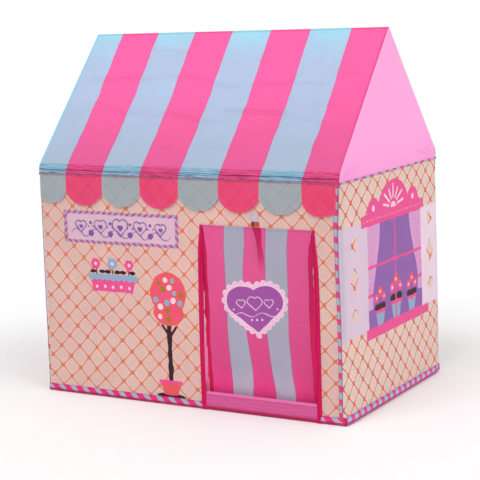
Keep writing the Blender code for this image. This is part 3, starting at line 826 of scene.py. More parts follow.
# %% Draw the front wall's pictures
def name_board(u, v):
    """The board's striped border in two parts, its plate, and the garland of hearts on it."""
    left, right, low, high = -0.3967, -0.0145, 0.4440, 0.5360
    middle, start, run = 0.4860, -0.372, 0.333
    board = block(u, v, (left, low), (right, high), 0.003)
    corner = joined(block(u, v, (left, high - 0.0095), (right, high), 0.003),
                    block(u, v, (left, low), (left + 0.0105, high), 0.003))
    field = block(u, v, (left + 0.0105, low + 0.009), (right - 0.0105, high - 0.009), 0.001)
    way = np.linspace(start, start + run, 90)
    wave = middle - 0.012 + 0.0105 * np.sin((way - start) / run * 10 * math.pi)
    violet = [stroke(u, v, list(zip(way, wave)), 0.0017)]
    for k, size in enumerate((0.040, 0.046, 0.056, 0.046, 0.040)):
        centre, foot = start + run * (0.10 + 0.2 * k), middle - size * 0.46 + 0.005
        violet += [outlined(heart(u, v, (centre, foot), size, size * 0.94), 0.0040),
                   heart(u, v, (centre, foot + size * 0.30), size * 0.36, size * 0.32)]
    for k in range(4):
        centre = start + run * (0.2 + 0.2 * k)
        violet += [disc(u, v, (centre, middle + 0.017), 0.0050), blossom(u, v, (centre, middle - 0.013), 0.0100),
                   many(disc, u, v, [(centre + shift, middle + 0.006) for shift in (-0.008, 0.008)], 0.0030)]
    return board, corner, field, joined(*violet)


def flower_box(u, v):
    """A scalloped trough with three blossoms above it: trough, lip, dots, stems with leaves, flowers, hearts."""
    middle, outer = -0.2375, ((-0.294, 0.3875), (-0.181, 0.3875))
    trough = tapered(u, v, (middle, 0.3085), 0.3490, 0.066, 0.078)
    lip = joined(block(u, v, (-0.3210, 0.3470), (-0.1540, 0.3585), 0.004),
                 many(disc, u, v, [(-0.3105 + 0.01825 * k, 0.3480) for k in range(9)], 0.0086),
                 blossom(u, v, (middle, 0.3895), 0.0180, 5, turn=math.pi / 2))
    dots = many(disc, u, v, [(-0.2925 + 0.0275 * k, 0.3225) for k in range(5)], 0.0048)
    stems = many(stroke, u, v, [[(c, 0.352), (c + lean, top)] for c, lean, top in (
        (-0.290, -0.004, 0.385), (middle, 0.0, 0.39), (-0.185, 0.004, 0.385))], 0.0017)
    leaves = many(oval, u, v, [(c, 0.3655) for c in (-0.304, -0.272, -0.2535, -0.2215, -0.203, -0.171)],
                  (0.0105, 0.0052))
    hearts = many(disc, u, v, [*outer, (middle, 0.3895)], 0.0052)
    return joined(trough, many(blossom, u, v, outer, 0.0165, 6)), lip, joined(dots, hearts), joined(stems, leaves)


def rose_tree(u, v):
    """A round crown with blossoms of four kinds, a twisted dark stem and a footed pot."""
    middle = -0.056
    crown = joined(oval(u, v, (middle, 0.316), (0.058, 0.060)), oval(u, v, (middle, 0.262), (0.049, 0.036)))
    heights = (0.235, 0.19, 0.145, 0.105, 0.06)
    stem = joined(
        stroke(u, v, list(zip((-0.0595, -0.0530, -0.0580, -0.0520, middle), heights)), 0.0062),
        stroke(u, v, list(zip((-0.0515, -0.0590, -0.0535, -0.0585, middle), heights)), 0.0052),
        many(stroke, u, v, ([(middle, 0.198), (-0.078, 0.226)], [(middle, 0.190), (-0.033, 0.222)]), 0.0034),
        block(u, v, (-0.086, 0.0235), (-0.026, 0.0310), 0.002), oval(u, v, (middle, 0.0245), (0.048, 0.0080)),
    )
    pot = tapered(u, v, (middle, 0.028), 0.0640, 0.022, 0.033)
    pot_lip = block(u, v, (-0.095, 0.0600), (-0.017, 0.0700), 0.004)
    draw = np.random.default_rng(9)
    spots = []
    for ring, number, shift in ((0.0, 1, 0.0), (0.021, 6, 0.3), (0.041, 11, 0.1)):
        for a in [2 * math.pi * (k + shift) / number for k in range(number)]:
            centre = (middle + ring * math.cos(a) * 1.03, 0.312 + ring * math.sin(a) * 1.05)
            spots.append((*centre, draw.uniform(0.0066, 0.0092)))
    spots += [(-0.084, 0.250, 0.0078), (middle, 0.244, 0.0088), (-0.029, 0.250, 0.0078)]
    kinds = [joined(*[disc(u, v, s[:2], s[2]) for s in spots[k::4]]) for k in range(4)]
    return joined(crown, pot), stem, pot_lip, kinds


def front_pictures(x, z):
    """The distances of each ink on the front wall, in the order in which they are laid: the print, then the painted
    shadow of the tie strap behind the cloth, darker down its fold.
    """
    u, v = brushed(x, z, 71)
    board, corner, field, violet = name_board(u, v)
    trough, lip, dots, stems = flower_box(u, v)
    crown, stem, pot_lip, kinds = rose_tree(u, v)
    strap = block(x, z, (0.2150, 0.5155), (0.2396, 0.5300), 0.001)
    return {
        "board": board, "corner": corner, "field": field, "brown": joined(stem, stems), "coral": crown,
        "rose": joined(trough, pot_lip, kinds[0]), "slate": joined(lip, kinds[1]), "cream": joined(dots, kinds[2]),
        "gold": kinds[3], "violet": violet, "strap": strap, "strap_fold": np.maximum(strap, x - 0.2232),
    }


# %% [markdown]
# The side wall shows a shop window between two shutters: a violet pane behind a pink frame with
# a fan-shaped head, drapes tied back, and three flower pots on the sill. The shutters have round and
# diamond holes that let the lattice through.

# %% Draw the side wall's window
def window_pictures(y, z, mirror=1.0):
    """The distances of each ink on a side wall. y grows to the right of someone who faces that wall."""
    u, v = brushed(y * mirror, z, 81)
    shutters = joined(block(u, v, (-0.40, 0.2220), (-0.1600, 0.5190)), block(u, v, (0.2030, 0.2200), (0.40, 0.5080)))
    holes = [many(blossom, u, v, [(c, h) for c in (-0.246, 0.265) for h in (0.470, 0.278)], 0.020, 4, 0.18)]
    holes += [np.abs(u - c) * 0.80 + np.abs(v - 0.374) * 0.60 - 0.0215 for c in (-0.246, 0.265)]
    head = joined(block(u, v, (-0.1980, 0.5030), (0.2250, 0.5350), 0.002), dome(u, v, (0.0150, 0.53), (0.104, 0.082)),
                  many(dome, u, v, ((-0.1180, 0.53), (0.1480, 0.53)), (0.044, 0.046)))
    sill = block(u, v, (-0.1780, 0.1950), (0.2500, 0.2245), 0.001)
    bars = joined(block(u, v, (0.0165, 0.2200), (0.0245, 0.5050)), block(u, v, (-0.162, 0.3870), (0.204, 0.3950)))
    rays = [dome(u, v, (0.015, 0.535), (0.018, 0.016)), many(disc, u, v, ((-0.118, 0.5480), (0.148, 0.5480)), 0.0085),
            many(disc, u, v, [(-0.180 + 0.0193 * k, 0.5185) for k in range(21)], 0.0026)]
    for k in range(7):
        cosine, sine = math.cos(math.pi * (k + 0.5) / 7), math.sin(math.pi * (k + 0.5) / 7)
        reach = 0.063 if k % 2 else 0.056
        rays.append(stroke(u, v, [(0.015 + 0.030 * cosine, 0.536 + 0.026 * sine),
                                  (0.015 + reach * 1.2 * cosine, 0.536 + reach * sine)], 0.0036))
    fall = np.clip((0.505 - v) / 0.19, 0, 1)
    drape = 0.030 + 0.052 * np.cos(fall * math.pi / 2) ** 1.5
    around = np.maximum(np.maximum(0.275 - v, v - 0.505), np.abs(u - 0.021) - 0.183)
    folds = many(stroke, u, v, [[(0.021 + side * (0.183 - top * share), height) for share, height in (
        (1, 0.503), (0.62, 0.40), (0.30, 0.315))] for side in (-1, 1) for top in (0.020, 0.040, 0.060)], 0.0011)
    ties = joined(*[block(u, v, (a, 0.3080), (a + 0.035, 0.3170), 0.003) for a in (-0.164, 0.171)])
    pots, lips, green, blooms, hearts = [], [], [], [], []
    for centre, size in ((-0.088, 1.0), (0.0205, 1.15), (0.129, 1.0)):
        foot = 0.2245
        pots.append(tapered(u, v, (centre, foot), foot + 0.036 * size, 0.019 * size, 0.028 * size))
        lips.append(block(u, v, (centre - 0.032 * size, foot + 0.033 * size),
                          (centre + 0.032 * size, foot + 0.043 * size), 0.003))
        tufts = [(centre + d * size, foot + 0.050 * size) for d in (-0.02, 0, 0.02)]
        green.append(many(oval, u, v, tufts, (0.015 * size, 0.010 * size)))
        for d, up, radius in ((-0.024, 0.076, 0.0145), (0.0, 0.092, 0.0165), (0.024, 0.074, 0.0145)):
            spot = (centre + d * size, foot + up * size)
            green.append(stroke(u, v, [(centre + d * 0.4, 0.262), spot], 0.0015))
            blooms.append(blossom(u, v, spot, radius * size, 6))
            hearts.append(disc(u, v, spot, 0.0046 * size))
    return {
        "lilac": np.maximum.reduce([shutters, *[-hole for hole in holes]]),
        "violet": block(u, v, (-0.1620, 0.2150), (0.2040, 0.5100)),
        "drape": np.maximum(np.minimum(u + 0.162 - drape, 0.204 - u - drape), around),
        "brown": joined(*green),
        "slate": joined(*pots),
        "rose": joined(head, sill, bars, ties, folds, *lips, *blooms[0::3], *blooms[2::3]),
        "coral": joined(*blooms[1::3]),
        "cream": joined(*rays, *hearts),
    }


# %% [markdown]
# ## Walls
# A wall is one cloth with seams all round. It hangs a little slack, so its middle dips in by a
# millimetre or two and its seams pucker. The print goes on last, over a fine grain for the weave.

# %% Dye the wall cloth and paint its light and shade
# The strap inks are the painted shadow of the tie strap behind the cloth, darker down its fold.
INKS = {
    "field": (228, 198, 213), "lilac": (229, 211, 227), "violet": (142, 94, 172), "drape": (226, 174, 218),
    "brown": (60, 16, 34), "coral": (238, 98, 112), "rose": (240, 90, 162), "slate": (158, 186, 212),
    "cream": (246, 222, 232), "gold": (176, 132, 58), "strap": (204, 94, 80), "strap_fold": (140, 38, 30),
}
SIDE_INKS = {ink: INKS[ink] for ink in ("lilac", "violet", "drape", "brown", "slate", "rose", "coral", "cream")}
SIDE_INKS["violet"] = (158, 108, 184)


def wall_ground(name, ground, pattern):
    """Ground colour, a fine grain of two tones for the weave, and the lattice."""
    made = Finish(name, ground, 0.62)
    made.lay((242, 224, 206), made.patches(5, 1.0, 0.45, 0.7), 0.25)
    made.lay((200, 188, 170), made.patches((330, 210), 1.0, 0.5, 0.66), 0.5)
    made.lay((248, 198, 212), made.patches((260, 380), 1.0, 0.5, 0.66), 0.5)
    lattice(made, **pattern)
    return made


def lay_inks(made, inks):
    for ink, colour in inks.items():
        made.ink(ink, colour, soft=0.0009 if ink == "violet" else 0.0005)


def front_print_and_painted_light():
    """The board's striped border first, then the inks, and a darker line of stitching over the doorway."""
    made = wall_ground("front_wall_print_and_painted_light", (229, 198, 188), FRONT_LATTICE)
    for ink, operation in (("board", "ADD"), ("corner", "SUBTRACT")):
        made.ink(ink, (180, 180, 206))
        made.lay((207, 84, 150), made.inside(ink), made.bands(made.maths(operation, made.u, made.v), 0.02))
    lay_inks(made, {ink: INKS[ink] for ink in (
        "field", "brown", "coral", "rose", "slate", "cream", "gold", "violet", "strap", "strap_fold")})
    made.lay((160, 96, 92), made.soft("seam", 0.2, 1.0), 0.35)
    return made.done(glow=0.36, sheen=0.08, mottle=0.05)


def side_print_and_painted_light():
    """The inks, painted light that makes the shutters lighter towards the back, and painted shade beside the corner
    tapes.
    """
    made = wall_ground("side_wall_print_and_painted_light", (234, 217, 203), SIDE_LATTICE)
    lay_inks(made, SIDE_INKS)
    # Painted light: the shutters lighter towards the back.
    made.lay((248, 232, 242), made.inside("lilac"), made.soft(made.u, -0.1, 0.3), 0.6)
    # Painted shade beside the corner tapes.
    made.lay((150, 150, 168), "dim", 0.3)
    return made.done(glow=0.36, sheen=0.08, mottle=0.05)


def wall_slack(u, z, half, seed):
    """How far the cloth dips in: slow waves in the middle, creases from packing, puckers at the seams."""
    side, foot, head = half - np.abs(u), z - WALL_FOOT, WALL_TOP - z
    inside = ease(np.minimum(side, np.minimum(foot, head)), 0.012, 0.09)
    dip = 0.0016 * inside * (0.55 + 0.45 * waves(u, z, seed, 0.10, 0.34))
    dip -= 0.0005 * inside * packing(u, z, (-half / 2, 0, half / 2), (0.235, 0.43), 0.0035)
    dip += 0.0004 * inside * waves(u, z, seed + 1, 0.025, 0.07)
    near = sum(fading(way, 0.014) * ease(way, 0.0, 0.004) for way in (foot, head))
    pucker = 0.5 + 0.5 * waves(u, z * 0.1, seed + 2, 0.009, 0.022, lean=0.0, spread=0.05)
    return np.maximum(dip + 0.0007 * near * pucker * ease(side, 0.02, 0.05), 0)


# %% [markdown]
# The front wall is one cloth with the doorway cut out of it. The opening could be cut square. In the
# photograph its left edge is a little hollow low down, so the grid is pulled to the left there, and
# the binding follows it. The cells inside the doorway are left out before the sheet is closed.

# %% Cut and hang the front wall
CORNER_ROUND, CORNER_LEAF = 0.0060, 0.0064
FRONT_HALF = HALF_WIDTH - CORNER_LEAF - 0.0001
CUT_LEFT, CUT_RIGHT = DOOR_LEFT - PROUD, DOOR_RIGHT + PROUD
WALL_HEIGHT = WALL_TOP - WALL_FOOT


def door_lean(z):
    """How far the doorway's left edge stands out to the left at a height: the cloth is cut a little hollow."""
    return np.interp(z, [0.0, 0.03, 0.07, 0.18, 0.24, 0.36], [0.001, 0.002, 0.0046, 0.0046, 0.0022, 0.0])


def flat_wall(side, facing, x, z, dip, finish, area=None, **more):
    outer = np.dstack([x, facing * (HALF_DEPTH - dip), z])
    cloth = sheet(f"{side}_wall_cloth", outer, (x, z), (0, facing, 0), finish, **more)
    declare(cloth, "tent", (2 * FRONT_HALF, WALL_HEIGHT),
            [f"{side}_wall"])


x, z = np.meshgrid(spaced(-FRONT_HALF, FRONT_HALF, 0.0036, CUT_LEFT, CUT_RIGHT),
                   spaced(WALL_FOOT, WALL_TOP, 0.0036, DOOR_TOP))
x = x - door_lean(z) * (1 - ease(np.abs(x - CUT_LEFT), 0.0, 0.030))
gap = np.maximum(np.abs(x - (DOOR_LEFT + DOOR_RIGHT) / 2) - (DOOR_RIGHT - DOOR_LEFT) / 2, z - DOOR_TOP)
dip = wall_slack(x, z, FRONT_HALF, 61) * ease(gap, 0.012, 0.06)
seam = bell(z - DOOR_TOP, 0.0030, 0.0008) * (np.abs(x - DOOR_MIDDLE) < 0.172)
cell_x, cell_z = (x[-1:, :-1] + x[-1:, 1:]) / 2, (z[:-1, :-1] + z[1:, :-1]) / 2
kept = ~((cell_x > CUT_LEFT) & (cell_x < CUT_RIGHT) & (cell_z < DOOR_TOP))
door_area = (CUT_RIGHT - CUT_LEFT) * (DOOR_TOP - WALL_FOOT)
flat_wall("front", -1, x, z, dip, front_print_and_painted_light(), area=2 * FRONT_HALF * WALL_HEIGHT - door_area, kept=kept,
          inks={**front_pictures(x, z), "seam": seam})

# %% [markdown]
# The other three walls are whole. A side wall is wide enough to turn round both corners onto the
# front and the back, and leans out by a few millimetres towards its foot, as the photograph shows.
# Both side walls have the window, and the back wall, which isn't seen, has the lattice alone.

# %% Cut and hang the other walls
SIDE_PRINT_AND_PAINTED_LIGHT = side_print_and_painted_light()


def splay(y, z):
    """How far a side wall leans out: most at the foot, and more at the back than at the front."""
    share = np.interp(z, [0.0, 0.10, 0.30, 0.45, 0.60], [1.0, 1.0, 0.85, 0.45, 0.0])
    return share * (0.0026 + 0.0032 * (y + HALF_DEPTH) / (2 * HALF_DEPTH))


def past_corner(x):
    """0 on the leaf that a side cloth turns onto the front or the back, and 1 on the side itself."""
    return ease(x, HALF_WIDTH - CORNER_LEAF, HALF_WIDTH - 0.001)


WALL_PATH = rounded([(HALF_WIDTH - CORNER_LEAF, -HALF_DEPTH), (HALF_WIDTH, -HALF_DEPTH), (HALF_WIDTH, HALF_DEPTH),
                     (HALF_WIDTH - CORNER_LEAF, HALF_DEPTH)], [CORNER_ROUND] * 2, 8)
side_length = length_of(WALL_PATH)
for side, facing, seed in (("right", 1, 63), ("left", -1, 65)):
    stations = spaced(0, side_length, 0.0031)
    y, z = np.meshgrid(stations - side_length / 2, spaced(WALL_FOOT, WALL_TOP, 0.0031))
    dip = wall_slack(y, z, HALF_DEPTH - 0.006, seed)
    corner = HALF_DEPTH - np.abs(y)
    pucker = 0.5 + 0.5 * waves(y, z * 0.12, seed + 5, 0.010, 0.024, lean=0.0, spread=0.03)
    dip += 0.0009 * fading(corner, 0.03) * ease(corner, 0.008, 0.022) * pucker
    place, inward = walk(WALL_PATH, stations)
    lean = splay(place[:, 1], z) * past_corner(place[:, 0])
    outer = np.dstack([facing * (place[:, 0] + inward[:, 0] * dip + lean), place[:, 1] + inward[:, 1] * dip, z])
    between_shutters = ease(z, 0.20, 0.26) * (1 - ease(z, 0.52, 0.56))
    # Painted shade beside the corner tapes, weaker at the back, and at the front only between the shutters' heights.
    dim = fading(np.abs(corner - 0.004), 0.009) * np.where(y > 0, 0.4, between_shutters)
    cloth = sheet(f"{side}_wall_cloth", outer, (facing * y, z), (facing, 0, 0), SIDE_PRINT_AND_PAINTED_LIGHT,
                  inks={**window_pictures(y, z, facing), "dim": dim})
    declare(cloth, "tent", (side_length, WALL_HEIGHT),
            [f"{side}_wall"])
x, z = np.meshgrid(spaced(-FRONT_HALF, FRONT_HALF, 0.006), spaced(WALL_FOOT, WALL_TOP, 0.006))
back_print_and_painted_light = wall_ground("back_wall_print_and_painted_light", (229, 198, 188), FRONT_LATTICE).done(glow=0.36, sheen=0.08, mottle=0.05)
flat_wall("back", 1, x, z, wall_slack(x, z, FRONT_HALF, 67), back_print_and_painted_light)

# %% [markdown]
# ## Valances
# Below the eave hangs a strip cut into round tongues, one to each roof stripe. It is sewn along its
# top alone and is thinner than the roof. The lattice of the wall behind is painted on it faintly,
# where it would show through, and painted shade lies along its top under the band. Each tongue ends
# in an arc of a circle, bulges a little and has a narrow rolled hem.

# %% Dye the valances, paint the lattice behind and the shade under the band, and cut them
def valance_finish():
    made = Finish("valance_cloth", (172, 180, 185), 0.62)
    # The wall's lattice behind is painted faintly on both colours, where it would show through the thin cloth.
    broad = {**FRONT_LATTICE, "half": 0.0024, "blur": 0.0022}
    cloud = made.patches(16, 2.0, 0.45, 0.75)
    made.lay((150, 180, 184), cloud, 0.5)
    lattice(made, **{**broad, "colour": (166, 148, 156), "rim": (182, 192, 194)}, strength=0.34)
    cool = made.restart((238, 74, 126))
    made.lay((240, 62, 104), cloud, 0.6)
    lattice(made, **{**broad, "colour": (226, 52, 84), "rim": (242, 76, 134)}, strength=0.36)
    warm = made.restart(cool)
    made.lay(warm, made.soft("stripe", -0.0004, 0.0004))
    # Painted shade under the eave band along the top.
    made.lay((120, 40, 80), "shade", 0.5)
    made.lay((236, 190, 205), made.soft("hem", 0.4, 1.0), 0.16)
    return made.done(glow=0.3, mottle=0.06)


VALANCE_CLOTH = valance_finish()
VALANCE_FOOT, VALANCE_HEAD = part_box("front_valance")
VALANCE_LOW, VALANCE_TOP, VALANCE_FACE = VALANCE_FOOT.z, VALANCE_HEAD.z, -VALANCE_FOOT.y
SCALLOP, HEM = 0.0370, 0.0045


def valance_cloth(side, facing, seed):
    """Point = (x, face + bulge, top - share x length), where the length follows the tongues."""
    left, right = -HALF_WIDTH + 0.0028, HALF_WIDTH - 0.0105
    edges = np.concatenate([[left], FIRST_STRIPE - HALF_WIDTH + STRIPE * np.arange(7), [right]])
    centres, halves = (edges[1:] + edges[:-1]) / 2, (edges[1:] - edges[:-1]) / 2
    turn = (1 - np.cos(np.linspace(0, math.pi, 27))) / 2
    places = np.append(np.concatenate([a + (b - a) * turn[:-1] for a, b in zip(edges, edges[1:])]), right)
    x, share = np.meshgrid(places, np.linspace(0, 1, 20) ** 0.9)
    tongue = np.clip(np.searchsorted(edges, x, side="right") - 1, 0, 7)
    half, centre = halves[tongue], centres[tongue]
    off = np.clip(np.abs(x - centre) / half, 0, 1)
    radius = (half ** 2 + SCALLOP ** 2) / (2 * SCALLOP)
    arc = (np.sqrt(radius ** 2 - (off * half) ** 2) - (radius - SCALLOP)) / SCALLOP
    outside = ((tongue == 0) & (x < centre)) | ((tongue == 7) & (x > centre))
    arc = np.where(outside, 1 - 0.42 * (1 - (1 - off ** 3.2) ** (1 / 3.2)) - 0.12 * off ** 2, arc)
    lower = VALANCE_LOW + 0.0015 + SCALLOP - np.where(tongue == 0, SCALLOP - 0.004, SCALLOP) * arc
    z = VALANCE_TOP + (lower - VALANCE_TOP) * share
    draw, drop = np.random.default_rng(seed), VALANCE_TOP - z
    swing, twist = draw.uniform(0.4, 1.0, 8)[tongue], draw.uniform(-1, 1, 8)[tongue]
    hang = ease(drop, 0.0, 0.07)
    bulge = hang * (0.0022 * swing * (1 - 0.6 * off ** 2) + 0.0012 * twist * (x - centre) / half)
    bulge += 0.0005 * hang * waves(x, z, seed + 1, 0.03, 0.09, lean=0.0, spread=0.3)
    pucker = 0.5 + 0.5 * waves(x, z * 0, seed + 2, 0.006, 0.018)
    bulge += 0.0006 * fading(drop, 0.008) * ease(drop, 0, 0.002) * pucker
    steep = np.where(share > 0.45, half * (1 - off) / HEM, 9)
    rim = np.minimum(np.clip((z - lower) / HEM, 0, 1), np.clip(steep, 0, 1))
    hem = ease(1 - rim, 0.15, 0.45)
    outer = np.dstack([x, facing * (VALANCE_FACE + bulge + 0.0003 * hem), z])
    inks = {"stripe": stripe_distance(x, 0.0006 * waves(z, x * 0.2, 6, 0.03, 0.1)),
            "shade": 1 - ease(drop, 0.0012, 0.0042), "hem": hem}
    return sheet(f"{side}_valance_cloth", outer, (x, z), (0, facing, 0), VALANCE_CLOTH, thick=0.0009, inks=inks)


for side, facing, seed in (("front", -1, 91), ("back", 1, 95)):
    cloth = valance_cloth(side, facing, seed)
    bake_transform(cloth)
    drop = VALANCE_TOP - VALANCE_LOW
    declare(cloth, None, (2 * HALF_WIDTH, drop),
            [f"{side}_valance"])

# %% [markdown]
# ## Candy-striped sleeves and tapes
# The base poles run in sleeves of woven tape with slanted magenta and pale blue stripes, and
# tapes of the same kind cover the corners and the gable seams. Each is a strip carried along a
# straight line, with its section walked round the pole or the corner. The slant of the stripes comes
# from adding the way along the strip to the way round it.

# %% Weave the candy stripes
def candy_finish(name, magenta, blue, pitch, slant, share=0.5, edging=None, start=0.0, seam_and_shade=0.35, shaded=0.0):
    """Slanted stripes: phase = (way along - start + slant x way across) / pitch, bent a little by noise."""
    made = Finish(name, blue, 0.7)
    bend = made.maths("MULTIPLY_ADD", made.noise(40, 1.0), 0.006, made.maths("SUBTRACT", made.u, start))
    made.lay(magenta, made.bands(made.maths("MULTIPLY_ADD", made.v, slant, bend), pitch, share=share))
    if edging:
        made.ink("edging", edging, soft=0.0012, strength=0.9)
    # Painted shade along the tape's far edge, beside the corner.
    if shaded:
        made.lay((104, 56, 110), "side_edge", shaded)
    # Stitching along the edges; laid darker on the corner tapes, where it also paints the shade along both edges.
    made.lay((110, 26, 76), "seam", seam_and_shade)
    made.raised(made.maths("SINE", made.times(made.u, 5200.0)), 0.00004)
    return made.done(glow=0.12, sheen=0.15)


FRONT_CANDY = candy_finish("front_base_candy_cloth", (222, 34, 116), (164, 172, 202), 0.0420, -1.0, 0.58,
                           (176, 6, 74), -0.0148)
SIDE_CANDY = candy_finish("side_base_candy_cloth", (228, 60, 140), (156, 186, 214), 0.03793, 1.0, 0.5,
                          (188, 20, 106), 0.0054)
CORNER_CANDY = candy_finish("corner_candy_tape", (222, 58, 126), (160, 178, 194), 0.03583, 0.3, start=0.0143,
                            seam_and_shade=0.7, shaded=0.6)
PIPING_CANDY = candy_finish("piping_candy_tape", (224, 44, 124), (150, 188, 210), 0.0500, 0.6)

# %% [markdown]
# A sleeve's section starts at the seam on the wall's face, goes down and round the pole, and comes
# back to the seam from inside. Near a corner only its outer leaf goes on, because the socket is
# there. The front and back sleeves are drawn tight, with short puckers at the seam. The side ones
# are looser: they swell out by a centimetre between the corners, and the ends of the front and
# back sleeves reach out to meet them. A dark magenta edge runs along the foot of each.

# %% Sew the base sleeves
SIDE_SWELL = 0.0100


def corner_swell(right, front):
    """How much of the side sleeve's swell is left at a corner: the front right one stands out most."""
    return np.where(right & front, 0.7, 0.1)


def sleeve_cloth(name, axis, facing, low, high, cut_ends, seed, finish, full, rim, height=SLEEVE, inks_of=None):
    """Point = section point + height x normal, carried from low to high along X (axis 0) or Y (axis 1).

    full is how far the sleeve swells out in front of the pole between its ends, and rim is the depth
    of the dark magenta edge along its foot.
    """
    face, corner = (HALF_DEPTH, HALF_WIDTH)[axis], (HALF_WIDTH, HALF_DEPTH)[axis]
    back, bend, foot = SLEEVE - CLEAR, 0.0022, 0.0002
    section = rounded([(0, height), (0, foot), (back, foot), (back, back), (THICK + foot, back)], [bend] * 3, 7)
    leaf = height - bend
    around = np.concatenate([spaced(0, leaf, 0.0022)[:-1], spaced(leaf, length_of(section), 0.0016)])
    inner = corner - SLEEVE - 0.0006
    a, s = np.meshgrid(spaced(low, high, 0.0055, *[end * inner for end in cut_ends]), around)
    place, normal = walk(section, around)
    to_corner = corner - np.abs(a)
    loose = ease(s, 0.001, 0.006) * (1 - ease(s, leaf * 0.75, leaf))
    clear = ease(to_corner, 0.006, 0.045)
    bulge = 0.0010 * loose * clear * (0.6 + 0.6 * waves(a, s * 3, seed, 0.02, 0.08))
    bulge += 0.0004 * fading(s, 0.004) * clear * waves(a, s * 0, seed + 1, 0.007, 0.02)
    bulge = np.clip(bulge, -0.0002, 0.002)
    profile = np.sin(math.pi * np.clip(s / (leaf + 2.6 * bend), 0, 1)) ** 0.7
    upright = 1 - ease(s, leaf, leaf + 0.010)
    if axis:
        left_over = 1 - (1 - corner_swell(facing > 0, a < 0)) * (1 - ease(to_corner, 0.0, 0.05))
        swell, along = full * profile * left_over + upright * splay(a, 0), a
    else:
        reach = SIDE_SWELL * corner_swell(a > 0, facing < 0) * profile + upright * splay(facing * HALF_DEPTH, 0)
        swell, along = full * profile * clear, a + np.sign(a) * reach * ease(np.abs(a), corner - 0.02, corner)
    depth, z = (place[:, i:i + 1] - normal[:, i:i + 1] * bulge for i in (0, 1))
    across = facing * (face - depth + swell)
    outer = np.dstack([across, along, np.maximum(z, 0.0)] if axis else [along, across, np.maximum(z, 0.0)])
    middle = outer.copy()
    middle[..., 1 - axis], middle[..., 2] = facing * (face - SLEEVE / 2), SLEEVE / 2
    cell_a, cell_s = (a[:-1, :-1] + a[:-1, 1:]) / 2, (s[:-1, :-1] + s[1:, :-1]) / 2
    kept = np.ones(cell_a.shape, bool)
    for end in cut_ends:
        kept &= ~((end * cell_a > inner) & (cell_s > leaf + 0.0016))
    edging = np.maximum(height - rim - s, s - height - 0.0042)
    inks = {"edging": np.minimum(edging, 9 if axis else corner - 0.0045 - a), "seam": bell(s, 0.0022, 0.0006)}
    inks.update(inks_of(a, s) if inks_of else {})
    return sheet(name, outer, (a, s), outer - middle, finish, kept=kept, inks=inks), length_of(section)


for number, (side, axis, facing, low, high, cut_ends) in enumerate((
    ("front_left", 0, -1, -HALF_WIDTH, CUT_LEFT, (-1,)),
    ("front_right", 0, -1, CUT_RIGHT, HALF_WIDTH, (1,)),
    ("back", 0, 1, -HALF_WIDTH, HALF_WIDTH, (-1, 1)),
    ("left", 1, -1, -INNER_HALF, INNER_HALF, (-1, 1)),
    ("right", 1, 1, -INNER_HALF, INNER_HALF, (-1, 1)),
)):
    cloth, girth = sleeve_cloth(f"base_sleeve_{side}_cloth", axis, facing, low, high, cut_ends, 101 + number,
                                (FRONT_CANDY, SIDE_CANDY)[axis], (0.0012, SIDE_SWELL)[axis], (0.0085, 0.0108)[axis])
    declare(cloth, "tent", (girth, high - low),
            [f"base_sleeve_{side}"])

# %% [markdown]
# The threshold is a sleeve of another cloth, a satin-like violet pink, whose front leaf stands up
# to hold the foot of the flap. It has a stitched top hem and a few crossways wrinkles. A painted
# highlight runs along the middle of the leaf and on the hem, and the wrinkles and the hem's fold are
# painted shade.

# %% Sew the threshold
THRESHOLD = Finish("threshold_satin", (211, 78, 146), 0.42)
# A painted highlight along the middle of the leaf and on the top hem, painted shade at the hem's fold and in the
# wrinkles, and darker towards the foot.
THRESHOLD.lay((228, 108, 172), "middle", 0.4)
THRESHOLD.lay((234, 130, 190), "hem", 0.75)
THRESHOLD.lay((170, 30, 100), "groove", 0.7)
THRESHOLD.lay((226, 108, 172), THRESHOLD.noise((6, 160)), 0.35)
THRESHOLD.lay((204, 36, 108), THRESHOLD.soft(THRESHOLD.v, 0.030, 0.047), 0.6)
THRESHOLD.ink("edging", (184, 8, 78), soft=0.0014, strength=0.95)
THRESHOLD_SATIN = THRESHOLD.done(glow=0.25, sheen=0.2, mottle=0.05)


def threshold_inks(a, s):
    # The middle share is a painted highlight; the groove share is painted shade at the hem's fold and in the crossways
    # wrinkles.
    lines = 0.5 + 0.5 * np.sin(2 * math.pi * (s / 0.0098 + 0.6 * waves(a, s * 0, 131, 0.09, 0.3)))
    return {
        "hem": 1 - ease(s, 0.0072, 0.0078),
        "middle": np.sin(math.pi * np.clip((s - 0.008) / 0.042, 0, 1)),
        "groove": np.maximum(bell(s, 0.0082, 0.0006), 0.4 * lines ** 6 * ease(s, 0.010, 0.016)),
    }


threshold, girth = sleeve_cloth("door_threshold_cloth", 0, -1, DOOR_LEFT + CLEAR, DOOR_RIGHT - CLEAR, (), 121,
                                THRESHOLD_SATIN, 0.0015, 0.0100, height=0.052, inks_of=threshold_inks)
declare(threshold, "tent", (girth, DOOR_RIGHT - DOOR_LEFT),
        ["door_threshold"])

# %% [markdown]
# Corner tapes cover the edge where two walls meet, from the base sleeve to the gable seam. In the
# photograph the right one lies flat on the front wall, beside the corner, and the left one shows
# from the edge only. So the two right tapes lie flat and the two left ones wrap round onto the side
# wall. The piping of the gable seam is a thin strip rolled over a cord, so its section is a low arch.

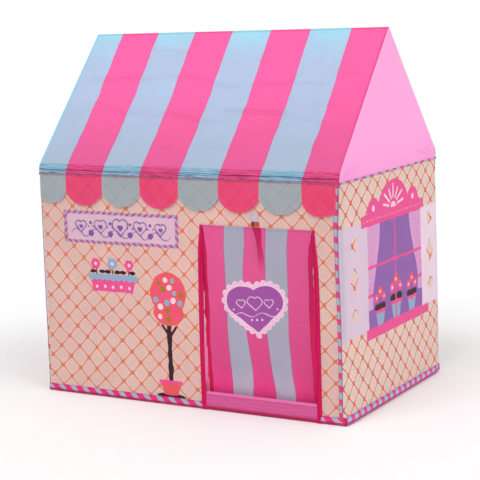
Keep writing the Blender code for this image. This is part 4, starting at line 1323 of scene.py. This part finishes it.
# %% Sew the corner tapes and the gable piping
def strip(name, section, outward, low, high, place, finish, seed, lift=0.0004, across_step=0.0011, along_step=0.006):
    """A strip with this section, from low to high. Point = place(section point + height x normal, way along)."""
    wide = length_of(section)
    around = spaced(0, wide, across_step)
    a, s = np.meshgrid(spaced(low, high, along_step), around)
    point, normal = walk(section, around)
    bulge = lift * (0.5 + 0.5 * waves(a, s, seed, 0.02, 0.09)) * (1 - (np.abs(s - wide / 2) / (wide / 2)) ** 4 * 0.6)
    outer = place(*[point[:, i:i + 1] + normal[:, i:i + 1] * bulge for i in (0, 1)], a)
    inks = {
        "seam": np.maximum(bell(s, 0.0014, 0.0004), bell(s, wide - 0.0014, 0.0004)),
        "fold": bell(s / wide, 0.46 + 0.16 * waves(a, s * 0, seed + 1, 0.05, 0.2), 0.07),
        "side_edge": bell(s, wide, 0.0017),
    }
    return sheet(name, outer, (a, s), outward(outer), finish, thick=TRIM, inks=inks), wide


TAPE_FOOT, TAPE_TOP = SLEEVE - 0.0035, SEAM - 0.0005
OUT_X, OUT_Y = HALF_WIDTH + PROUD, HALF_DEPTH + PROUD
FLAT_EDGE = HALF_WIDTH - 0.0050
FLAT_TAPE = np.array([(HALF_WIDTH - 0.0152, OUT_Y), (FLAT_EDGE, OUT_Y)])
WRAP_TAPE = rounded([(HALF_WIDTH - 0.0040, OUT_Y), (OUT_X, OUT_Y), (OUT_X, HALF_DEPTH - 0.0140)],
                    [CORNER_ROUND + PROUD], 10)
WRAP_TAPE = WRAP_TAPE[WRAP_TAPE[:, 0] > HALF_WIDTH - 0.0022]
PIPING_ARCH = rounded([(CLEAR + TRIM, SEAM + 0.0027), (0.0032, SEAM), (CLEAR + TRIM, SEAM - 0.0029)], [0.0018], 9)
for x_sign, right_left in ((-1, "left"), (1, "right")):
    for y_sign, front_back in ((-1, "front"), (1, "back")):

        def round_corner(p, q, a, x_sign=x_sign, y_sign=y_sign):
            if x_sign > 0:
                sway = np.interp(a, [0.02, 0.10, 0.22, 0.32, 0.42, 0.52, 0.60, 0.638],
                                 [0.0022, 0.0028, 0.0027, 0.0014, -0.0014, -0.0012, 0.0030, 0.0040])
                p = FLAT_EDGE + (p - FLAT_EDGE) * np.interp(a, [0.45, 0.52, 0.60], [1, 1.27, 1.65]) + sway
            else:
                p = p + splay(y_sign * HALF_DEPTH, a) * past_corner(p)
            return np.dstack([x_sign * p, y_sign * q + 0 * a, a + 0 * p])

        name = f"corner_tape_{front_back}_{right_left}"
        tape, wide = strip(f"{name}_cloth", FLAT_TAPE if x_sign > 0 else WRAP_TAPE, lambda outer: outer * (1, 1, 0),
                           TAPE_FOOT, TAPE_TOP, round_corner, CORNER_CANDY, 140)
        declare(tape, "tent", (wide, TAPE_TOP - TAPE_FOOT),
                [name])

    def round_seam(p, q, a, x_sign=x_sign):
        return np.dstack([x_sign * (HALF_WIDTH + p) + 0 * a, a + 0 * p, q + 0 * a])

    piping, wide = strip(f"gable_piping_{right_left}_cloth", PIPING_ARCH, lambda outer: outer * (1, 0, 0), -HALF_DEPTH,
                         HALF_DEPTH, round_seam, PIPING_CANDY, 150, lift=0.0003, across_step=0.0007)
    declare(piping, "tent", (0.0100, 2 * HALF_DEPTH),
            [f"gable_piping_{right_left}"])

# %% [markdown]
# ## Door bindings
# Dark magenta binding folds over both cut edges of the doorway. It is softer than the tape, so
# its leaf swells and twists a little and gets narrow at the top, where it is tucked into the seam.
# Its long folds up and down it are painted, as streaks of painted highlight and painted shade and
# a darker line of painted shade down the middle. The left one follows the hollow edge of the doorway.

# %% Bind the doorway
BINDING_DYE_AND_SHADE = Finish("binding_cloth", (220, 4, 94), 0.5)
# Streaks of painted highlight and painted shade for the long folds, and painted shade down the middle fold.
BINDING_DYE_AND_SHADE.lay((232, 54, 124), BINDING_DYE_AND_SHADE.patches((7, 420), 3.0, 0.5, 0.75), 0.6)
BINDING_DYE_AND_SHADE.lay((150, 10, 66), BINDING_DYE_AND_SHADE.patches((9, 300), 3.0, 0.55, 0.8), 0.5)
BINDING_DYE_AND_SHADE.lay((140, 8, 60), "fold", 0.6)
BINDING_DYE_AND_SHADE.lay((120, 6, 52), "seam", 0.5)
BINDING_CLOTH = BINDING_DYE_AND_SHADE.done(glow=0.3, sheen=0.03, gloss=0.2)
BINDING = 0.0125
BINDING_SECTION = rounded([(0.0, HALF_DEPTH - THICK), (0.0, OUT_Y + 0.0006), (BINDING, OUT_Y)], [0.0013], 6)
for side, edge, away, heights, widths in (
    ("left", DOOR_LEFT, -1, (0.0, 0.18, 0.28, 0.38, 0.455, 0.500, 0.52),
     (0.0160, 0.0160, 0.0148, 0.0132, 0.0110, 0.0045, 0.0040)),
    ("right", DOOR_RIGHT, 1, (0.0, 0.18, 0.33, 0.40, 0.450, 0.485, 0.52),
     (0.0142, 0.0142, 0.0138, 0.0125, 0.0095, 0.0050, 0.0036)),
):
    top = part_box(f"door_binding_{side}")[1].z

    def round_edge(p, q, a, edge=edge, away=away, heights=heights, widths=widths):
        """Point = (edge + way out x its width here - tuck + lean, face + swell, height)."""
        twist = 0.6 + 0.4 * np.sin(a / 0.071) * np.sin(a / 0.023 + 1)
        swell = 0.0012 * np.sin(np.clip(p / BINDING, 0, 1) * math.pi) * twist
        tuck = (0.0016 + 0.0018 * ease(a, 0.43, 0.47)) * (1 - ease(p, 0.0, 0.004))
        lean = door_lean(a) * (1 - p / BINDING) if away < 0 else 0
        out = p * np.interp(a, heights, widths) / BINDING - tuck + lean
        return np.dstack([edge + away * out, -(q + swell), a + 0 * p])

    binding, wide = strip(f"door_binding_{side}_cloth", BINDING_SECTION, lambda outer: np.array((0, -1.0, 0)), 0.0,
                          top, round_edge, BINDING_CLOTH, 160, along_step=0.004)
    declare(binding, "tent", (wide, top), [f"door_binding_{side}"])

# %% [markdown]
# ## Door flap
# The flap is one striped cloth with a lace-edged heart, bound down both sides. It bends at five
# places when it is rolled, so it is cut into seven lengths that meet halfway between the joints.
# Neighbouring lengths meet edge to edge. On the left the cloth reaches behind the doorway's binding
# and curls forward, so no light shows past it, and a pale edge beside its own bindings is painted
# light, for the light seen through the slits beside them.

# %% Dye the flap and paint its light and shade
def flap_finish():
    made = Finish("flap_cloth", (231, 97, 159), 0.52)
    # Deeper pink below the heart. Near the foot a lighter pink, on the pale stripes too, is painted light against the
    # shade there.
    foot = made.soft(made.v, 0.15, 0.055)
    made.lay((226, 84, 148), made.soft(made.v, 0.44, 0.08))
    made.lay((242, 76, 154), foot)
    made.ink("slate", (182, 181, 199))
    made.lay((203, 190, 212), foot, made.inside("slate"))
    made.lay((140, 80, 140), made.soft(made.maths("ABSOLUTE", "slate"), 0.0016, 0.0004), 0.4)
    # Painted shadow of the tie strap behind the cloth, darker down its fold.
    made.lay((206, 26, 96), "strap")
    made.lay((146, 20, 52), "strap_fold", 0.45)
    for ink, colour in (("lace", (244, 212, 230)), ("holes", (222, 140, 184)), ("heart", (176, 92, 176)),
                        ("mark", (242, 216, 234)), ("binding", (206, 6, 84))):
        made.ink(ink, colour)
    # Painted light: the binding laid brighter low down, then streaks of painted highlight on it.
    made.ink("binding", (232, 8, 96), strength=made.soft(made.v, 0.34, 0.22))
    made.lay((232, 54, 124), made.soft("binding", 0.0, -0.003), made.noise((300, 8)), 0.5)
    made.lay((120, 10, 60), "seam", 0.5)
    made.lay((150, 8, 66), "knot")
    # Painted light: the light seen through the slits beside the bindings, pale above and deeper pink low down.
    made.lay((255, 240, 248), "selvedge")
    made.lay((255, 158, 214), "selvedge", made.soft(made.v, 0.27, 0.16))
    return made.done(glow=0.34, sheen=0.06, mottle=0.06, gloss=0.25)


FLAP_CLOTH = flap_finish()
FLAP_LEFT, FLAP_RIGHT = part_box("door_flap_1")[0].x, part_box("door_flap_1")[1].x
FLAP_TOP, FLAP_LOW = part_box("door_flap_1")[1].z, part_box("door_flap_6")[0].z
ROLL = {joint["name"]: joint["pos_m"] for joint in frame["joints"]}
FOLDS = [ROLL[name][2] for name in ("door_swing", "door_roll", *[f"door_roll_{k}" for k in range(2, 6)])]


def flap_stripes(x, z):
    """Two pale stripes whose four edges drift as they go down."""
    heights = [0.060, 0.080, 0.120, 0.160, 0.220, 0.386, 0.410, 0.458, 0.506]
    sides = [np.interp(z, heights, places) for places in (
        (0.1313, 0.1318, 0.1288, 0.1260, 0.1234, 0.1257, 0.1261, 0.1257, 0.1296),
        (0.1938, 0.1963, 0.1953, 0.1904, 0.1829, 0.1812, 0.1826, 0.1892, 0.1921),
        (0.2643, 0.2618, 0.2548, 0.2510, 0.2454, 0.2487, 0.2501, 0.2517, 0.2566),
        (0.3243, 0.3228, 0.3168, 0.3150, 0.3114, 0.3157, 0.3161, 0.3167, 0.3226),
    )]
    return joined(np.maximum(sides[0] - x, x - sides[1]), np.maximum(sides[2] - x, x - sides[3]))


def flap_heart(x, z):
    """The heart, tilted a little, the scallops and holes of its lace, and the motifs on it."""
    tip, width, height, lean = (0.2193, 0.2257), 0.1730, 0.1290, 0.078
    u, v = brushed(x, z, 173, 0.0008)
    across, up = u - tip[0], v - tip[1]
    u = tip[0] + math.cos(lean) * across + math.sin(lean) * up
    v = tip[1] - math.sin(lean) * across + math.cos(lean) * up
    shape = heart(u, v, tip, width, height)
    edge = np.linspace(0, 1, 16)[1:, None] * np.array([0.5, 0.5])
    turn = np.linspace(-math.pi / 4, 3 * math.pi / 4, 26)[1:]
    lobe = np.stack([0.25 + 0.35355 * np.cos(turn), 0.75 + 0.35355 * np.sin(turn)], 1)
    outline = np.vstack([[0, 0], edge, lobe]) * (width / 1.2071, height / 1.1036)
    trim, inward = walk(outline, np.linspace(0, length_of(outline), 14), 0.001)
    out = -inward
    out[0], out[-1] = (0, -1), (0, 1)
    ring, out = (np.vstack([half, half[1:-1] * (-1, 1)]) for half in (trim, out))
    lace = joined(shape - 0.0085, many(disc, u, v, ring + out * 0.0067 + tip, 0.0098))
    holes = many(disc, u, v, ring + out * 0.0082 + tip, 0.0020)
    base = tip[1] + 0.0560
    vine = [(t, base - 0.006 + 0.0050 * math.sin((t - 0.155) / 0.0105)) for t in np.linspace(0.155, 0.283, 50)]
    mark = joined(
        outlined(heart(u, v, (tip[0], base + 0.004), 0.048, 0.040), 0.0030),
        *[outlined(heart(u, v, (middle, base + 0.010), 0.031, 0.027), 0.0030) for middle in (0.1765, 0.2621)],
        stroke(u, v, vine, 0.0014),
        many(disc, u, v, [(tip[0] + shift, base + 0.010) for shift in (-0.067, 0.067)], 0.0030),
        many(disc, u, v, [(tip[0] + shift, base - 0.020) for shift in (-0.016, 0.0, 0.016)], 0.0034),
    )
    return {"lace": lace, "holes": holes, "heart": shape, "mark": mark}


def flap_strap(x, z):
    """The painted shadow of the strap behind the cloth below the door's head, darker down its left side where it
    folds.
    """
    levels = -np.array([0.515, 0.494, 0.470, 0.440, 0.410])
    left = np.interp(-z, levels, [0.2165, 0.2234, 0.2273, 0.2280, 0.2301])
    right = np.interp(-z, levels, [0.2435, 0.2438, 0.2423, 0.2475, 0.2496])
    shown = np.interp(-z, [-0.515, -0.470, -0.440, -0.412, -0.390], [1, 0.95, 0.7, 0.3, 0])
    strap = shown * ease(x, left - 0.0012, left + 0.0016) * (1 - ease(x, right - 0.0016, right + 0.0012))
    fold = strap * (1 - ease(x, left + 0.0040, left + 0.0065)) * ease(z, 0.480, 0.505)
    return {"strap": strap, "strap_fold": fold}


def flap_edges(x, z, near_left, near_right):
    """The bindings down both sides, their stitches, the tucked top, and the painted light beside them: a pale edge for
    the light seen through the slits.
    """
    wander = 0.0006 * waves(z, 0 * x, 178, 0.03, 0.12)
    on_left = ease(0.362 + 0 * z, z, z + 0.01) * (1 - 0.95 * bell(z, 0.272, 0.006))
    on_right = (1 - ease(z, 0.436, 0.448)) * (1 - bell(z, 0.352, 0.012)) * (1 - bell(z, 0.190, 0.012))
    on_right = on_right * ease(z, 0.11, 0.14)
    wider = 0.0013 * ease(z, 0.23, 0.25) * (1 - ease(z, 0.355, 0.37))
    # A pale edge beside the bindings is painted light, for the light seen through the slits.
    pale = np.maximum(on_left * ease(-near_left + wider, 0.0002 + wander, 0.0008 + wander),
                      on_right * ease(-near_right, 0.0002 + wander, 0.0008 + wander))
    tall = [0.03, 0.07, 0.12, 0.18, 0.24, 0.30, 0.36, 0.40, 0.44, 0.47, 0.49, 0.505, 0.5125]
    wide_left = np.interp(z, tall, [0.0125, 0.0122, 0.0122, 0.0107, 0.0132, 0.0144, 0.0137, 0.0132, 0.0112, 0.0082,
                                    0.0057, 0.0045, 0.001])
    wide_right = np.interp(z, tall, [0.0155, 0.0158, 0.0162, 0.0165, 0.0165, 0.0160, 0.0150, 0.0143, 0.0150, 0.0132,
                                     0.0065, 0.0050, 0.001])
    bound = np.minimum(near_left - wide_left, near_right - wide_right)
    lines = np.maximum(bell(bound, -0.0006, 0.0006), 0.7 * bell(FLAP_TOP - z, 0.0050, 0.0006))
    knot = 0.75 * ease(z, 0.478, 0.500) * (1 - ease(bound, -0.0006, 0.0004))
    return {"binding": bound, "seam": lines, "knot": knot, "selvedge": np.clip(pale, 0, 1)}


def flap_length(name, top, bottom):
    """Point = (x, lean x drop + waves, z): the face leans in to pass behind the threshold."""
    x, z = np.meshgrid(spaced(FLAP_LEFT, FLAP_RIGHT, 0.0028), spaced(bottom, top, 0.0028)[::-1])
    drop = FLAP_TOP - z
    left = FLAP_LEFT - np.interp(drop, [0.05, 0.10, 0.20, 0.30, 0.46], [0, 0.0058, 0.0095, 0.0150, 0.0210])
    wide = left + (FLAP_RIGHT - left) * (x - FLAP_LEFT) / (FLAP_RIGHT - FLAP_LEFT)
    near_left = wide - FLAP_LEFT + 0.0047 * ease(drop, 0.06, 0.15)
    near_right = FLAP_RIGHT - wide + np.interp(-z, [-0.50, -0.40, -0.30, -0.25, -0.10, -0.03],
                                               [0, -0.0035, -0.0048, -0.0050, -0.0030, 0])
    free = ease(drop, 0.0, 0.08)
    beside = 1 - ease(np.minimum(near_left, near_right), 0.0135, 0.0160)
    slow = np.sin(5 * math.pi * (wide - DOOR_LEFT) / (DOOR_RIGHT - DOOR_LEFT))
    depth = drop * 0.04932 + 0.002 * drop / 0.5027 * slow
    depth += free * 0.0009 * waves(x, z * 0.35, 175, 0.05, 0.14, lean=0.0, spread=0.25)
    depth += free * 0.0004 * waves(x, z, 176, 0.02, 0.06)
    depth += free * 0.0006 * packing(x, z, (DOOR_MIDDLE,), (0.262,))
    depth += free * beside * (0.0005 * waves(z, x * 0.5, 177, 0.008, 0.024) - 0.0007)
    depth *= 1 - 0.55 * ease(-near_left, 0.001, 0.009) * ease(z, 0.055, 0.10)
    inks = {"slate": flap_stripes(wide, z), **flap_heart(wide, z), **flap_strap(wide, z),
            **flap_edges(wide, z, near_left, near_right)}
    outer = np.dstack([wide, depth - HALF_DEPTH, z])
    return sheet(name, outer, (x, z), (0, -1, 0), FLAP_CLOTH, thick=0.0011, inks=inks)


def fold_line(z):
    """A point on the flap's face at this height."""
    return (DOOR_MIDDLE, (FLAP_TOP - z) * 0.0513 - HALF_DEPTH, z)


bodies = ["tent", "flap_top", "flap_roll_1", "flap_roll_2", "flap_roll_3", "flap_roll_4", "flap_roll_5"]
BEND = 0.024
middles = [(a + b) / 2 for a, b in zip(FOLDS, FOLDS[1:] + [FLAP_LOW])]
stops = [FLAP_TOP] + middles + [FLAP_LOW]
for number, (top, bottom) in enumerate(zip(stops, stops[1:])):
    cloth = flap_length(f"door_flap_cloth_{number + 1}", top, bottom)
    last = number == len(stops) - 2
    if not last:
        start, end = fold_line(FOLDS[number] + (BEND if number else 0.0)), fold_line(FOLDS[number] - BEND)
        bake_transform(cloth)
        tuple(start)
        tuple(end)
    declare(cloth, bodies[-1] if last else None, (FLAP_RIGHT - FLAP_LEFT, top - bottom),
            [] if last else [f"door_flap_{number + 1}"])

# %% [markdown]
# ## Door tie
# Inside the door hangs a strap that ties the rolled flap up. It is held by a small stitched patch
# on the outside of the wall.

# %% Sew the tie strap and its patch
PATCH = Finish("patch_cloth", (196, 180, 194), 0.7)
PATCH.lay((150, 130, 150), "seam", 0.6)
low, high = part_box("door_tie_patch")
x, z = np.meshgrid(spaced(low.x, high.x, 0.0009), spaced(low.z, high.z, 0.0009))
edge = np.minimum(np.minimum(x - low.x, high.x - x), np.minimum(z - low.z, high.z - z))
puff = 0.0006 * ease(edge, 0, 0.0025) - 0.0004 * bell(edge, 0.0026, 0.0006) + 0.0002 * waves(x, z, 181, 0.006, 0.02)
patch = sheet("door_tie_patch_cloth", np.dstack([x, low.y - puff, z]), (x, z), (0, -1, 0), PATCH.done(glow=0.1),
              thick=0.0007, inks={"seam": bell(edge, 0.0026, 0.0005)})
declare(patch, "tent", (high.x - low.x, high.z - low.z),
        ["door_tie_patch"])

low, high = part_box("door_tie_strap")
x, z = np.meshgrid(spaced(low.x, high.x, 0.0018), spaced(low.z, high.z, 0.0024)[::-1])
share = (high.z - z) / (high.z - low.z)
face = low.y + share * (high.y - THICK - low.y)
curl = 0.0012 * share * np.sin(share * 9) + 0.0006 * ((x - low.x) / (high.x - low.x) * 2 - 1) ** 2
outer = np.dstack([x, face + np.clip(curl, 0, 0.002), z])
strap = sheet("door_tie_strap_cloth", outer, (z, x), (0, -1, 0), BINDING_CLOTH, thick=0.0010,
              inks={"seam": bell(np.minimum(x - low.x, high.x - x), 0.002, 0.0005)})
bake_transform(strap)
declare(strap, None, (high.x - low.x, high.z - low.z), ["door_tie_strap"])
